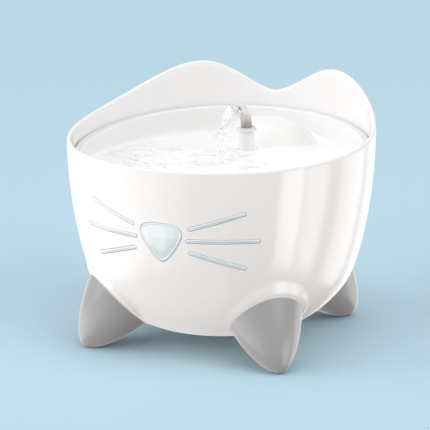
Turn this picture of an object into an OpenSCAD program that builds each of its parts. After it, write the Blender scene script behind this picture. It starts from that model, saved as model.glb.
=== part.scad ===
// Pet water fountain: a footed bowl with ears, a lift-out drinking tray, a swivelling
// spout, and a submersible pump inside a round filter box.
// Millimetres, +Z up. The origin is on the ground, in the middle of the fountain.
// -Y is the nose side, +Y the side with the ears.

/* [Bowl] */
// Outer radius of the bowl at its rim
bowl_r = 115; // [105:1:140]
// Height of the rim at the nose
rim_z = 150.4; // [140:0.1:182]
// How much higher the rim's line runs at the back than at the nose
rim_rise = 1.6; // [0:0.1:8]
// Height of the flat base above the ground
base_z = 14.5; // [12:0.1:22]
// How far the edge of the flat base lies inside the rim
base_in = 57; // [42:0.5:62]
// Height of the turn of the belly above the base
belly_h = 36.5; // [28:0.1:44]
// How far the turn of the belly lies inside the rim
belly_in = 15.5; // [12:0.5:20]
// Slope of the side at the turn of the belly
belly_slope = 66.5; // [60:0.5:72]
// Thickness of the bowl's wall
wall = 2.8; // [2:0.1:3.4]
// Thickness of the bowl's floor
floor_t = 3; // [2.4:0.1:5]

/* [Ears] */
// Height of an ear's tip above the line of the rim
ear_h = 37.9; // [20:0.1:50]
// Angle of each ear's tip from the middle of the back
ear_angle = 29.7; // [22:0.1:40]
// Angle over which the outer slope of an ear falls away
ear_spread = 23.8; // [16:0.1:30]
// Depth of the dip between the ears, below their tips
dip_depth = 22.4; // [10:0.1:30]
// Fullness of the dip
dip_power = 0.8; // [0.6:0.05:1.2]

/* [Face] */
// Half width of the nose window
nose_half_w = 15.5; // [10:0.5:20]
// Height of the nose window
nose_h = 29; // [20:0.5:36]
// Height of the nose window's middle below the rim
nose_drop = 49.7; // [42:0.1:60]
// Width of a whisker
whisker_w = 3.3; // [2:0.1:5]
// Angle from the middle of the front to the root of the whiskers
whisker_root = 10.4; // [9:0.1:14]
// Spacing of the whiskers' roots
whisker_pitch = 8.7; // [6:0.1:10]
// Length of the middle whisker
whisker_mid_l = 49; // [30:1:60]
// Length of the upper and lower whiskers
whisker_side_l = 41; // [25:1:50]
// Angle of the upper and lower whiskers
whisker_fan = 17; // [5:0.5:25]
// How far the windows stand out of the wall
window_proud = 0.6; // [0.2:0.1:1.2]
// Thickness of the window's flange behind the wall
window_flange = 1.2; // [0.8:0.1:2]

/* [Legs] */
// Angle of each front leg from the middle of the front
leg_front_angle = 45; // [35:0.1:55]
// Angle of each rear leg from the middle of the front
leg_rear_angle = 132.7; // [120:0.1:145]
// How far the tip of a leg lies inside the rim
leg_tip_in = 4.2; // [0:0.1:12]
// Lean of a leg towards the middle
leg_lean = 40; // [30:0.5:45]
// Length over which a leg swells to its full radius
leg_l = 81.9; // [60:0.1:98]
// Full radius of a leg
leg_r = 34.1; // [22:0.1:41]
// Depth of the flat that a leg stands on
leg_flat = 0.4; // [0.3:0.1:1]
// Height of the soft foot pad
pad_h = 1.7; // [1.2:0.1:3]
// Radius of the stem that holds the pad in the leg
pad_stem_r = 2.4; // [1.5:0.1:3]
// Thickness of the bowl's cuff over the top of a leg
cuff_t = 2.4; // [1:0.1:3]
// How far the cuff reaches out over a leg
cuff_reach = 1.6; // [1:0.1:4]
// How far the cuff's edge is raised at the underside
cuff_lift = 0.5; // [0.2:0.1:2]
// Radius of the peg that holds a leg
peg_r = 5; // [3:0.1:7]
// Length of the peg outside the wall
peg_l = 14; // [8:0.5:18]

/* [Tray] */
// Tilt of the tray towards the nose
tray_tilt = 5.66; // [3:0.01:7]
// Height of the tray's rim below the bowl's rim, in the middle
tray_drop = 6.7; // [3:0.1:9]
// Depth of the tray's floor below its rim
tray_depth = 22; // [18:0.5:26]
// Thickness of the tray
tray_t = 2.2; // [1.6:0.1:3]
// Width of the rail round the tray's rim
rail_w = 6.2; // [5:0.1:8]
// Height of the rail
rail_h = 5; // [4.5:0.1:6]
// Gap between the tray and the bowl's wall
tray_gap = 1; // [0.6:0.1:1.5]
// Inward draft of the tray's wall
wall_draft = 4; // [2:0.5:8]
// Radius where the tray's wall turns into its floor
cove_r = 8; // [5:0.5:10]
// Radius of the hump behind the spout
hump_r = 85; // [75:1:95]
// Depth of the hump's top below the rim of the tray
hump_top = 7; // [6:0.1:10]
// Distance of the hump's middle inside the tray's rim
hump_in = -2; // [-4:0.5:4]
// Half angle of the overflow at the front
overflow_half = 28; // [15:1:30]
// Depth of the overflow below the rim of the tray
overflow_depth = 2.6; // [2:0.1:3]
// Number of drain slots in the overflow
drain_count = 9; // [5:2:11]
// Radius of a drain slot's ends
drain_r = 1.1; // [0.8:0.1:1.1]
// Length of a drain slot between the middles of its ends
drain_l = 4; // [1:0.5:6]

/* [Spout] */
// Distance of the spout from the middle of the tray
spout_y = 52; // [48:0.5:58]
// Radius of the pedestal at the tray's floor
pedestal_r = 6.8; // [6.4:0.1:8]
// Radius of the pedestal at its top
pedestal_top_r = 5.9; // [5.6:0.1:6.3]
// Depth of the pedestal's top below the rim of the tray
pedestal_drop = 3.1; // [1:0.1:5]
// Radius of the bore in the pedestal
socket_r = 4.4; // [4:0.05:4.5]
// Length of the spout's stem
stem_l = 13; // [9:0.5:15]
// Radius of the spout's collar
collar_r = 7.65; // [7:0.05:9]
// Thickness of the collar
collar_t = 2.4; // [1.6:0.1:3]
// Outer radius of the spout's neck
neck_r = 4.3; // [3.8:0.1:4.6]
// Radius of the spout's waterway
waterway_r = 2.8; // [2:0.1:3]
// Radius of the bend of the neck
bend_r = 18; // [14:0.5:24]
// Straight length of the neck above the collar
neck_h = 1.8; // [1:0.1:6]
// How far the spout turns to each side
swivel = 45; // [20:1:60]
// Running clearance of the stem in the pedestal
stem_gap = 0.07; // [0.03:0.01:0.1]
// Half thickness of the sealing ring
seal_r = 0.45; // [0.35:0.05:0.5]

/* [Filter box] */
// Outer radius of the filter box
box_r = 37; // [34:0.5:40]
// Thickness of the box's wall
box_t = 1.8; // [1.4:0.1:2.4]
// Height of the box's feet
box_foot_h = 8; // [7:0.5:12]
// Height of the box itself
box_h = 51; // [50:0.5:60]
// Thickness of the filter pad
filter_t = 8; // [5:0.5:10]
// Thickness of the perforated plate under the pad
plate_t = 1.8; // [1.2:0.1:2.4]
// Radius of a hole in the perforated plate
plate_hole_r = 1.4; // [1:0.1:1.6]
// Distance of the riser from the middle of the box
riser_offset = 18.6; // [16:0.2:19]

/* [Pump] */
// Outer radius of the riser tube
riser_r = 6.2; // [5.4:0.1:7]
// Inner radius of the riser tube
riser_bore_r = 4.25; // [3.6:0.05:4.5]
// How far the riser tube passes over a nozzle or spigot
riser_grip = 10; // [6:0.5:12]
// Half width of the pump
pump_half_w = 20; // [19:0.5:21]
// Length of the motor housing
motor_l = 36; // [34:0.5:36]
// Height of the pump
pump_h = 29; // [28:0.5:31]
// Thickness of the pump's walls
pump_t = 1.8; // [1.4:0.1:2]
// Radius of the rotor's magnet
magnet_r = 6.4; // [5.5:0.1:6.6]
// Radius of the shaft
shaft_r = 1.5; // [1.2:0.1:1.6]
// Radius of the impeller
impeller_r = 10.4; // [9:0.1:10.6]
// Number of the impeller's blades
blade_count = 6; // [4:1:8]
// Height of the impeller's blades
blade_h = 5; // [3:0.5:6]
// Height of the suction cups
cup_h = 4; // [3:0.1:5]
// Radius of a suction cup
cup_r = 5; // [4:0.1:6]

/* [Fits] */
// Gap between pieces that are pushed together
fit_gap = 0.1; // [0.05:0.01:0.2]
// Gap round a piece that sits loosely
loose_gap = 0.3; // [0.2:0.05:0.5]
// Running clearance of the rotor on its shaft
run_gap = 0.05; // [0.02:0.01:0.1]

/* [Hidden] */
$fn = 64;
eps = 0.01;

// ---- bowl profile ----
base_r = bowl_r - base_in;
belly = [bowl_r - belly_in, base_z + belly_h];
belly_dir = [cos(belly_slope), sin(belly_slope)];
shoulder = [bowl_r, rim_z - 0.7];
base_pull = 6.8;
belly_pull_low = 23.7;
belly_pull_high = 16.5;
shoulder_pull = 41;
ceiling_z = rim_z + 80;
floor_z = base_z + floor_t;
// The inner floor stays flat up to this far from the edge of the base
floor_edge = 0.5;

function bezier(p, t) = p[0] * pow(1 - t, 3) + p[1] * 3 * t * pow(1 - t, 2)
    + p[2] * 3 * t * t * (1 - t) + p[3] * pow(t, 3);
function bezier_slope(p, t) = (p[1] - p[0]) * pow(1 - t, 2)
    + (p[2] - p[1]) * 2 * t * (1 - t) + (p[3] - p[2]) * t * t;
function outward(v) = [v[1], -v[0]] / norm(v);
function offset_point(p, t, d) = bezier(p, t) + outward(bezier_slope(p, t)) * d;

low_curve = [[base_r, base_z], [base_r + base_pull, base_z], belly - belly_dir * belly_pull_low, belly];
high_curve = [belly, belly + belly_dir * belly_pull_high, shoulder - [0, shoulder_pull], shoulder];
low_steps = 10;
high_steps = 12;
function side(d) = concat(
    [for (i = [0:low_steps - 1]) offset_point(low_curve, i / low_steps, d)],
    [for (i = [0:high_steps]) offset_point(high_curve, i / high_steps, d)]
);
function side_above(d, low) = [for (p = side(d)) [p[0], max(p[1], low)]];
// Radius of the bowl's outer face at height z
function bowl_r_at(z) = lookup(z, [for (p = side(0)) [p[1], p[0]]]);
function bowl_in_r_at(z) = lookup(z, [for (p = side(-wall)) [p[1], p[0]]]);

// ---- rim line, by angle from the middle of the back ----
function cosh(x) = (exp(x) + exp(-x)) / 2;
function rim_line(a) = rim_z + rim_rise * (1 + cos(a)) / 2;
ear_tip_z = rim_line(ear_angle) + ear_h;
function rim_at(a) = abs(a) >= ear_angle
    ? rim_line(a) + ear_h / cosh((abs(a) - ear_angle) / ear_spread)
    : ear_tip_z - dip_depth * (1 - pow((1 - cos(180 * a / ear_angle)) / 2, dip_power));

// ---- legs ----
leg_power = 1.59;
leg_root = 1.68;
leg_steps = 16;
function leg_radius(s) = leg_r * pow(1 - pow(1 - s / leg_l, leg_power), 1 / leg_root);
leg_stations = [for (i = [0:leg_steps]) leg_l * pow(i / leg_steps, 2)];
// Depth of the lowest point of a leg below its tip
leg_hang = max([for (s = leg_stations) leg_radius(s) * sin(leg_lean) - s * cos(leg_lean)]);
leg_tip_r = bowl_r - leg_tip_in;
leg_tip_z = leg_hang - leg_flat;
pad_spot_r = leg_tip_r - 5.2;
// Where a leg's axis meets the bowl
leg_root_s = lookup(0, [for (s = [20:2:60])
    [leg_tip_r - s * sin(leg_lean) - bowl_r_at(leg_tip_z + s * cos(leg_lean)), s]]);
leg_angles = [-leg_front_angle, leg_front_angle, -leg_rear_angle, leg_rear_angle];

// ---- tray ----
tray_z = rim_z - tray_drop;
tray_r = bowl_r - wall - tray_gap;
tray_shift = 0.7;
basin_r = tray_r - rail_w;
basin_low_r = basin_r - (tray_depth - cove_r) * tan(wall_draft) - cove_r;
ledge_t = 2;
ledge_r = basin_r + tray_t + 0.6;
overflow_r = tray_r - 1.2;
drain_ring_r = overflow_r - drain_r - 0.2;
spigot_r = riser_bore_r - fit_gap;
spigot_bore_r = 2.9;
spigot_y = spout_y * cos(tray_tilt) + (tray_depth + tray_t) * sin(tray_tilt);
spigot_top_z = tray_z + spout_y * sin(tray_tilt) - (tray_depth + tray_t) * cos(tray_tilt);
spigot_l = 17;
spigot_z = spigot_top_z - spigot_l;
socket_floor = tray_depth - 3;

// ---- spout ----
stem_r = socket_r - stem_gap;
collar_z = -pedestal_drop + fit_gap;
key_half = 8;
key_r = socket_r + 0.5;
key_h = 2.4;
groove_r = stem_r - 2 * seal_r - 0.05;
groove_z = collar_z - 8;

// ---- filter box ----
box_bottom_z = floor_z + box_foot_h;
box_y = min(spigot_y - riser_offset, bowl_in_r_at(box_bottom_z) - box_r - loose_gap);
box_floor_z = box_bottom_z + box_t;
box_top_z = box_bottom_z + box_h;
box_in_r = box_r - box_t;
box_ledge_w = 1.6;
pad_bottom_z = box_top_z - filter_t;
plate_z = pad_bottom_z - plate_t;
cap_t = 2;
cap_skirt_h = 7;
plate_ring_pitch = 5.2;
riser_hole_r = riser_r + loose_gap;

// ---- pump ----
pump_z = box_floor_z + cup_h;
pump_back_y = spigot_y - 8.5;
pump_front_y = pump_back_y - motor_l;
well_t = 1.2;
well_r = magnet_r + 0.6;
axis_z = pump_z + pump_h - pump_t - well_t - well_r + 1;
volute_r = impeller_r + 1.1;
volute_l = 14;
volute_back_y = pump_back_y + volute_l;
volute_half_w = volute_r + 4;
nozzle_top_z = axis_z + volute_r + 14;
riser_bottom_z = nozzle_top_z - riser_grip;
riser_top_z = spigot_z + riser_grip;
well_depth = 30;
inlet_r = 6;
spider_t = 1.6;
bearing_r = 3;
bearing_l = 3;
shaft_front_y = pump_back_y - well_depth + 0.6;
shaft_back_y = volute_back_y - 0.4;
magnet_l = 27;
disc_t = 1.6;
impeller_y = pump_back_y + 1.6;
cup_x = 14;
cup_pitch_y = 22;
cup_stem_r = 1.8;
gland_r = 3;
gland_z = pump_z + 9;

// ---- placing ----
// Turns a piece made on the +X axis to an angle measured from the nose
module at_angle(a) { rotate([0, 0, a - 90]) children(); }
module in_tray() { translate([0, 0, tray_z]) rotate([tray_tilt, 0, 0]) children(); }
module along_y(y) { translate([0, y, axis_z]) rotate([-90, 0, 0]) children(); }

// ---- bowl ----
module bowl_form(d) {
    rotate_extrude($fn = 96)
        polygon(concat([[0, base_z - d]], side(d), [[bowl_r + d, ceiling_z], [0, ceiling_z]]));
}

module bowl_hollow(d) {
    rotate_extrude($fn = 96)
        polygon(concat([[0, floor_z], [base_r - floor_edge, floor_z]], side_above(-d, floor_z),
                       [[bowl_r - d, ceiling_z + 1], [0, ceiling_z + 1]]));
}

// Everything above the wavy line of the rim
module above_rim() {
    steps = 120;
    near = bowl_r - wall - 10;
    far = bowl_r + 12;
    angles = [for (i = [0:steps - 1]) i * 360 / steps];
    function ring(r, z, a) = [-r * sin(a), r * cos(a), z];
    points = concat(
        [for (a = angles) ring(near, rim_at(a > 180 ? a - 360 : a), a)],
        [for (a = angles) ring(far, rim_at(a > 180 ? a - 360 : a), a)],
        [for (a = angles) ring(far, ceiling_z + 5, a)],
        [for (a = angles) ring(near, ceiling_z + 5, a)]
    );
    faces = [for (k = [0:3], i = [0:steps - 1], h = [0, 1])
        let (j = (i + 1) % steps, m = (k + 1) % 4)
        h == 0
            ? [k * steps + i, m * steps + i, k * steps + j]
            : [k * steps + j, m * steps + i, m * steps + j]];
    polyhedron(points, faces);
}

module leg_form(grow) {
    translate([leg_tip_r, 0, leg_tip_z])
        rotate([0, -leg_lean, 0])
            rotate_extrude($fn = 64)
                polygon(concat(
                    [[0, -grow]],
                    [for (i = [1:leg_steps]) [leg_radius(leg_stations[i]) + grow, leg_stations[i]]],
                    [[0, leg_l]]
                ));
}

module leg_cuff() {
    difference() {
        intersection() {
            leg_form(cuff_t);
            translate([cuff_reach, 0, cuff_lift]) bowl_form(0);
        }
        leg_form(fit_gap);
    }
}

module leg_peg(r, extra) {
    translate([leg_tip_r, 0, leg_tip_z])
        rotate([0, -leg_lean, 0])
            translate([0, 0, leg_root_s - peg_l - extra])
                cylinder(h = peg_l + extra + wall + 1, r = r);
}

module tray_ledge() {
    in_tray()
        translate([0, tray_shift, 0])
            rotate([0, 0, -90 + overflow_half + 4])
                rotate_extrude(angle = 360 - 2 * (overflow_half + 4), $fn = 96)
                    translate([ledge_r, -rail_h - fit_gap - ledge_t])
                        square([bowl_r - ledge_r, ledge_t]);
}

module shell() {
    color("white")
    difference() {
        union() {
            difference() {
                union() {
                    bowl_form(0);
                    for (a = leg_angles) at_angle(a) {
                        leg_cuff();
                        leg_peg(peg_r, 0);
                    }
                }
                bowl_hollow(wall);
                above_rim();
            }
            intersection() {
                tray_ledge();
                bowl_form(-0.5);
            }
        }
        nose_prism(0);
        for (side = [-1, 1]) whisker_bars(side, 0);
        grommet_hole(grommet_r);
    }
}

// ---- face windows ----
face_z = rim_z - nose_drop;
nose_curve = [[-1.065, 0.83], [1.065, 0.83], [1, 0], [0.2, -1.2], [-0.2, -1.2], [-1, 0]];
nose_steps = 6;
function quad(a, b, c, t) = a * pow(1 - t, 2) + b * 2 * t * (1 - t) + c * t * t;
function nose_outline(grow) = let (
        n = len(nose_curve),
        p = [for (q = nose_curve) [q[0] * (nose_half_w + grow), q[1] * (nose_h / 2 + grow)]]
    ) [for (i = [0:n - 1], k = [0:nose_steps - 1])
        let (before = p[(i + n - 1) % n], here = p[i], after = p[(i + 1) % n])
        quad((before + here) / 2, here, (here + after) / 2, k / nose_steps)];

module nose_prism(grow) {
    translate([0, -bowl_r / 2, face_z])
        rotate([90, 0, 0])
            linear_extrude(height = bowl_r)
                polygon(nose_outline(grow));
}

module wall_skin(outside, inside) {
    difference() {
        bowl_form(outside);
        bowl_hollow(-inside);
    }
}

module nose_window() {
    color("lightblue") {
        intersection() {
            wall_skin(window_proud, -wall - fit_gap - window_flange);
            nose_prism(-fit_gap);
        }
        intersection() {
            wall_skin(-wall - fit_gap, -wall - fit_gap - window_flange);
            nose_prism(1.5);
        }
    }
}

// One slot of the wall, round at both ends, seen square on
module whisker_bar(side, root_z, slope, length, grow) {
    r = bowl_r_at(root_z);
    middle = whisker_root + length / 2 / r * 180 / PI;
    span = length * cos(slope) / 2;
    rise = length * sin(slope);
    at_angle(side * middle)
        translate([bowl_r / 2, 0, root_z + rise / 2])
            rotate([0, 90, 0])
                rotate([0, 0, side * slope])
                    linear_extrude(height = bowl_r) {
                        square([whisker_w + 2 * grow, 2 * span], center = true);
                        for (end = [-1, 1])
                            translate([0, end * span]) circle(r = whisker_w / 2 + grow, $fn = 24);
                    }
}

module whisker_bars(side, grow) {
    whisker_bar(side, face_z + whisker_pitch, whisker_fan, whisker_side_l, grow);
    whisker_bar(side, face_z, 0, whisker_mid_l, grow);
    whisker_bar(side, face_z - whisker_pitch, -whisker_fan, whisker_side_l, grow);
}

module whisker_window(side) {
    reach = whisker_mid_l / bowl_r_at(face_z) * 180 / PI + 2;
    low_z = face_z - whisker_pitch - whisker_side_l * sin(whisker_fan) - 4;
    high_z = face_z + whisker_pitch + whisker_side_l * sin(whisker_fan) + 4;
    intersection() {
        wall_skin(window_proud / 2, -wall - fit_gap - window_flange);
        whisker_bars(side, -fit_gap);
    }
    intersection() {
        wall_skin(-wall - fit_gap, -wall - fit_gap - window_flange);
        translate([0, 0, low_z])
            at_angle(side * (whisker_root + reach / 2 - 0.8))
                rotate([0, 0, -reach / 2])
                    rotate_extrude(angle = reach)
                        translate([bowl_r / 2, 0])
                            square([bowl_r / 2 + 5, high_z - low_z]);
    }
}

module whisker_window_left() { color("lightblue") whisker_window(-1); }
module whisker_window_right() { color("lightblue") whisker_window(1); }

// ---- legs and pads ----
module leg(a) {
    color("darkgray")
    at_angle(a)
        difference() {
            leg_form(0);
            bowl_form(fit_gap);
            leg_peg(peg_r + fit_gap, 0.5);
            translate([0, 0, pad_h - 20]) cylinder(h = 20, r = 2 * bowl_r);
            translate([pad_spot_r, 0, 0]) cylinder(h = pad_h + 3.2, r = pad_stem_r + fit_gap);
        }
}

module foot_pad(a) {
    color("gray")
    at_angle(a) {
        intersection() {
            leg_form(0);
            translate([pad_spot_r, 0, 0]) cylinder(h = pad_h, r = 20);
        }
        translate([pad_spot_r, 0, pad_h - 0.5]) cylinder(h = 3.5, r = pad_stem_r);
    }
}

module leg_front_left() { leg(-leg_front_angle); }
module leg_front_right() { leg(leg_front_angle); }
module leg_rear_left() { leg(-leg_rear_angle); }
module leg_rear_right() { leg(leg_rear_angle); }
module foot_pad_front_left() { foot_pad(-leg_front_angle); }
module foot_pad_front_right() { foot_pad(leg_front_angle); }
module foot_pad_rear_left() { foot_pad(-leg_rear_angle); }
module foot_pad_rear_right() { foot_pad(leg_rear_angle); }

// ---- cord grommet in the back wall ----
grommet_r = 5.5;
grommet_bore_r = 2.4;
grommet_z = tray_z - 27;
grommet_y = bowl_r_at(grommet_z);
grommet_flange_r = grommet_r + 1.8;
grommet_out_y = bowl_r_at(grommet_z + grommet_flange_r) + fit_gap;

module grommet_hole(r) {
    translate([0, grommet_y - 12, grommet_z])
        rotate([-90, 0, 0])
            cylinder(h = 24, r = r);
}

module cord_grommet() {
    inner_y = bowl_r_at(grommet_z - grommet_flange_r) - wall - 2.4;
    color("whitesmoke")
    difference() {
        translate([0, inner_y, grommet_z])
            rotate([-90, 0, 0]) {
                cylinder(h = grommet_out_y + 1 - inner_y, r = grommet_r - fit_gap);
                cylinder(h = 1.6, r = grommet_flange_r);
                translate([0, 0, grommet_out_y - inner_y]) cylinder(h = 1, r = grommet_flange_r);
            }
        grommet_hole(grommet_bore_r);
    }
}

// ---- tray ----
function cove(r, steps) = [for (i = [0:steps])
    let (a = -90 + i * (90 - wall_draft) / steps)
    [basin_low_r + r * cos(a), -tray_depth + cove_r + r * sin(a)]];

module basin_hollow() {
    rotate_extrude($fn = 96)
        polygon(concat([[0, -tray_depth]], cove(cove_r, 6), [[basin_r, 0], [basin_r + 0.1, 2], [0, 2]]));
}

module tray_body() {
    rotate_extrude($fn = 96)
        polygon(concat(
            [[0, -tray_depth - tray_t]],
            cove(cove_r + tray_t, 6),
            [[basin_r + tray_t, -rail_h - 2], [basin_r + tray_t, -rail_h], [tray_r - 0.5, -rail_h],
             [tray_r, -rail_h + 0.5], [tray_r, -0.8], [tray_r - 0.8, 0], [0, 0]]
        ));
}

module hump_ball(r) {
    translate([0, basin_r - hump_in, -hump_top - hump_r]) sphere(r = r, $fn = 96);
}

// Flat outline of a slot with round ends, l between the middles of its ends
module round_slot(l, r) {
    square([l, 2 * r], center = true);
    for (end = [-1, 1])
        translate([end * l / 2, 0]) circle(r = r, $fn = 24);
}

module overflow_channel() {
    rotate([0, 0, -90 - overflow_half])
        rotate_extrude(angle = 2 * overflow_half, $fn = 96)
            translate([basin_r - 3, -overflow_depth])
                square([overflow_r - basin_r + 3, overflow_depth + 1]);
    for (i = [0:drain_count - 1])
        rotate([0, 0, (i - (drain_count - 1) / 2) * 2 * (overflow_half - 3) / (drain_count - 1)])
            translate([0, -drain_ring_r, -rail_h - 1])
                linear_extrude(height = rail_h)
                    round_slot(drain_l, drain_r);
}

module pedestal() {
    translate([0, spout_y, -tray_depth - tray_t / 2])
        cylinder(h = tray_depth + tray_t / 2 - pedestal_drop, r1 = pedestal_r, r2 = pedestal_top_r);
}

module spout_socket() {
    translate([0, spout_y, -socket_floor])
        cylinder(h = socket_floor + 5, r = socket_r);
    translate([0, spout_y, -pedestal_drop - key_h - 2 * fit_gap])
        rotate([0, 0, 90 - swivel - key_half - 1])
            rotate_extrude(angle = 2 * (swivel + key_half + 1))
                translate([waterway_r, 0])
                    square([key_r + fit_gap - waterway_r, key_h + 5]);
}

module drinking_tray() {
    color("whitesmoke")
    difference() {
        union() {
            in_tray()
                translate([0, tray_shift, 0]) {
                    difference() {
                        tray_body();
                        basin_hollow();
                        overflow_channel();
                    }
                    intersection() {
                        hump_ball(hump_r);
                        tray_body();
                    }
                }
            in_tray() pedestal();
            translate([0, spigot_y, spigot_z]) {
                cylinder(h = spigot_l + 2, r = spigot_r);
                translate([0, 0, spigot_l - 4]) cylinder(h = 6, r = pedestal_r);
            }
        }
        in_tray() {
            spout_socket();
            translate([0, tray_shift, 0]) hump_ball(hump_r - tray_t);
        }
        translate([0, spigot_y, spigot_z - 1]) cylinder(h = spigot_l + 7, r = spigot_bore_r);
    }
}

// ---- spout ----
module spout() {
    color("gainsboro")
    in_tray()
        translate([0, spout_y, collar_z])
            difference() {
                union() {
                    cylinder(h = collar_t, r = collar_r);
                    translate([0, 0, -stem_l]) cylinder(h = stem_l + 1, r = stem_r);
                    translate([0, 0, -key_h])
                        rotate([0, 0, 90 - key_half])
                            rotate_extrude(angle = 2 * key_half)
                                translate([groove_r, 0])
                                    square([key_r - groove_r, key_h + 1]);
                    cylinder(h = collar_t + neck_h, r = neck_r);
                    spout_bend(neck_r, 0);
                }
                spout_bend(waterway_r, 1);
                translate([0, 0, -stem_l - 1]) cylinder(h = stem_l + collar_t + neck_h + 1 + eps, r = waterway_r);
                translate([0, 0, groove_z - collar_z])
                    rotate_extrude()
                        translate([groove_r, -seal_r - 0.05])
                            square([2, 2 * seal_r + 0.1]);
                for (end = [-1, 1])
                    translate([end * collar_r, 0, -1]) cylinder(h = collar_t + 2, r = 0.9, $fn = 24);
            }
}

// Quarter bend that ends facing the nose
module spout_bend(r, extra) {
    translate([0, -bend_r, collar_t + neck_h])
        rotate([90, 0, 90])
            rotate_extrude(angle = 90)
                translate([bend_r, 0]) circle(r = r, $fn = 48);
    if (extra > 0)
        translate([0, -bend_r + eps, collar_t + neck_h + bend_r])
            rotate([90, 0, 0])
                cylinder(h = extra, r = r, $fn = 48);
}

module spout_seal() {
    color("dimgray")
    in_tray()
        translate([0, spout_y, groove_z])
            rotate_extrude()
                translate([groove_r + seal_r + 0.02, 0]) circle(r = seal_r, $fn = 32);
}

module riser_tube() {
    color("snow")
    translate([0, spigot_y, riser_bottom_z])
        difference() {
            cylinder(h = riser_top_z - riser_bottom_z, r = riser_r);
            translate([0, 0, -1]) cylinder(h = riser_top_z - riser_bottom_z + 2, r = riser_bore_r);
        }
}

// ---- filter box ----
module box_disc(z, h, r) { translate([0, box_y, z]) cylinder(h = h, r = r); }
module riser_hole(z, h) { translate([0, spigot_y, z]) cylinder(h = h, r = riser_hole_r); }

module filter_box() {
    foot_r = 3.2;
    foot_x = box_r / 2;
    foot_y = box_r * 0.4;
    color("aliceblue")
    difference() {
        union() {
            translate([0, box_y, 0])
                rotate_extrude()
                    polygon([[0, box_bottom_z], [box_r - 4, box_bottom_z], [box_r, box_bottom_z + 4],
                             [box_r, box_top_z], [0, box_top_z]]);
            for (x = [-foot_x, foot_x], y = [-foot_y, foot_y])
                translate([x, box_y + y, floor_z]) cylinder(h = box_foot_h + 1, r = foot_r);
        }
        translate([0, box_y, 0])
            rotate_extrude()
                polygon([[0, box_floor_z], [box_in_r - 3.2, box_floor_z], [box_in_r, box_floor_z + 3.2],
                         [box_in_r, plate_z - 3], [box_in_r - box_ledge_w, plate_z - 1.4],
                         [box_in_r - box_ledge_w, plate_z], [box_in_r, plate_z],
                         [box_in_r, box_top_z + 1], [0, box_top_z + 1]]);
        // notch for a cord, at the side away from the riser
        translate([-2.5, box_y - box_r - 1, box_top_z - filter_t - plate_t - 4]) cube([5, box_t + 4, filter_t + plate_t + 5]);
    }
}

module filter_plate() {
    color("azure")
    difference() {
        box_disc(plate_z, plate_t, box_in_r - loose_gap);
        riser_hole(plate_z - 1, plate_t + 2);
        for (ring = [1:5])
            for (i = [0:6 * ring - 1])
                let (a = i * 60 / ring, r = ring * plate_ring_pitch,
                     far = norm([r * cos(a), r * sin(a) - riser_offset]))
                if (far > riser_hole_r + plate_hole_r + 1.2)
                    translate([r * cos(a), box_y + r * sin(a), plate_z - 1])
                        cylinder(h = plate_t + 2, r = plate_hole_r, $fn = 16);
    }
}

module filter_pad() {
    color("lightsteelblue")
    difference() {
        box_disc(pad_bottom_z, filter_t, box_in_r - 2 * loose_gap);
        riser_hole(pad_bottom_z - 1, filter_t + 2);
    }
}

module filter_cap() {
    spokes = 12;
    color("azure")
    difference() {
        union() {
            difference() {
                box_disc(box_top_z - cap_skirt_h, cap_skirt_h + fit_gap + cap_t, box_r + fit_gap + 1.6);
                box_disc(box_top_z - cap_skirt_h - 1, cap_skirt_h + 1 + fit_gap, box_r + fit_gap);
                for (i = [0:spokes - 1])
                    translate([0, box_y, box_top_z])
                        rotate([0, 0, (i + 0.5) * 360 / spokes])
                            rotate_extrude(angle = 360 / spokes - 7)
                                translate([9, 0]) square([box_in_r - 11, 5]);
                box_disc(box_top_z, 5, 4);
            }
            translate([0, spigot_y, box_top_z + fit_gap]) cylinder(h = cap_t, r = riser_hole_r + 1.8);
            difference() {
                box_disc(box_top_z + fit_gap, cap_t, 22);
                box_disc(box_top_z, 5, 20.4);
            }
        }
        riser_hole(box_top_z - 1, 5);
    }
}

// ---- pump ----
module pump_block(x, y0, y1, z0, z1, r) {
    translate([0, y1, 0])
        rotate([90, 0, 0])
            linear_extrude(height = y1 - y0) {
                translate([-x + r, z0]) square([2 * (x - r), z1 - z0]);
                translate([-x, z0]) square([2 * x, z1 - z0 - r]);
                for (end = [-1, 1]) translate([end * (x - r), z1 - r]) circle(r = r, $fn = 32);
            }
}

module pump_housing() {
    color("ghostwhite")
    difference() {
        union() {
            difference() {
                pump_block(pump_half_w, pump_front_y, pump_back_y, pump_z + pump_t, pump_z + pump_h, 5);
                pump_block(pump_half_w - pump_t, pump_front_y + pump_t, pump_back_y - pump_t,
                           pump_z, pump_z + pump_h - pump_t, 4);
            }
            along_y(pump_back_y - well_depth - well_t) cylinder(h = well_depth + well_t, r = well_r + well_t);
        }
        along_y(pump_back_y - well_depth) cylinder(h = well_depth + 1, r = well_r);
        translate([0, pump_front_y - 1, gland_z])
            rotate([-90, 0, 0]) cylinder(h = pump_t + 2, r = gland_r);
    }
}

module pump_base() {
    color("ghostwhite")
    difference() {
        pump_block(pump_half_w, pump_front_y, pump_back_y, pump_z, pump_z + pump_t, 0.5);
        for (p = cup_places) translate([p[0], p[1], pump_z - 1]) cylinder(h = pump_t + 2, r = cup_stem_r + fit_gap);
    }
}

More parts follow.
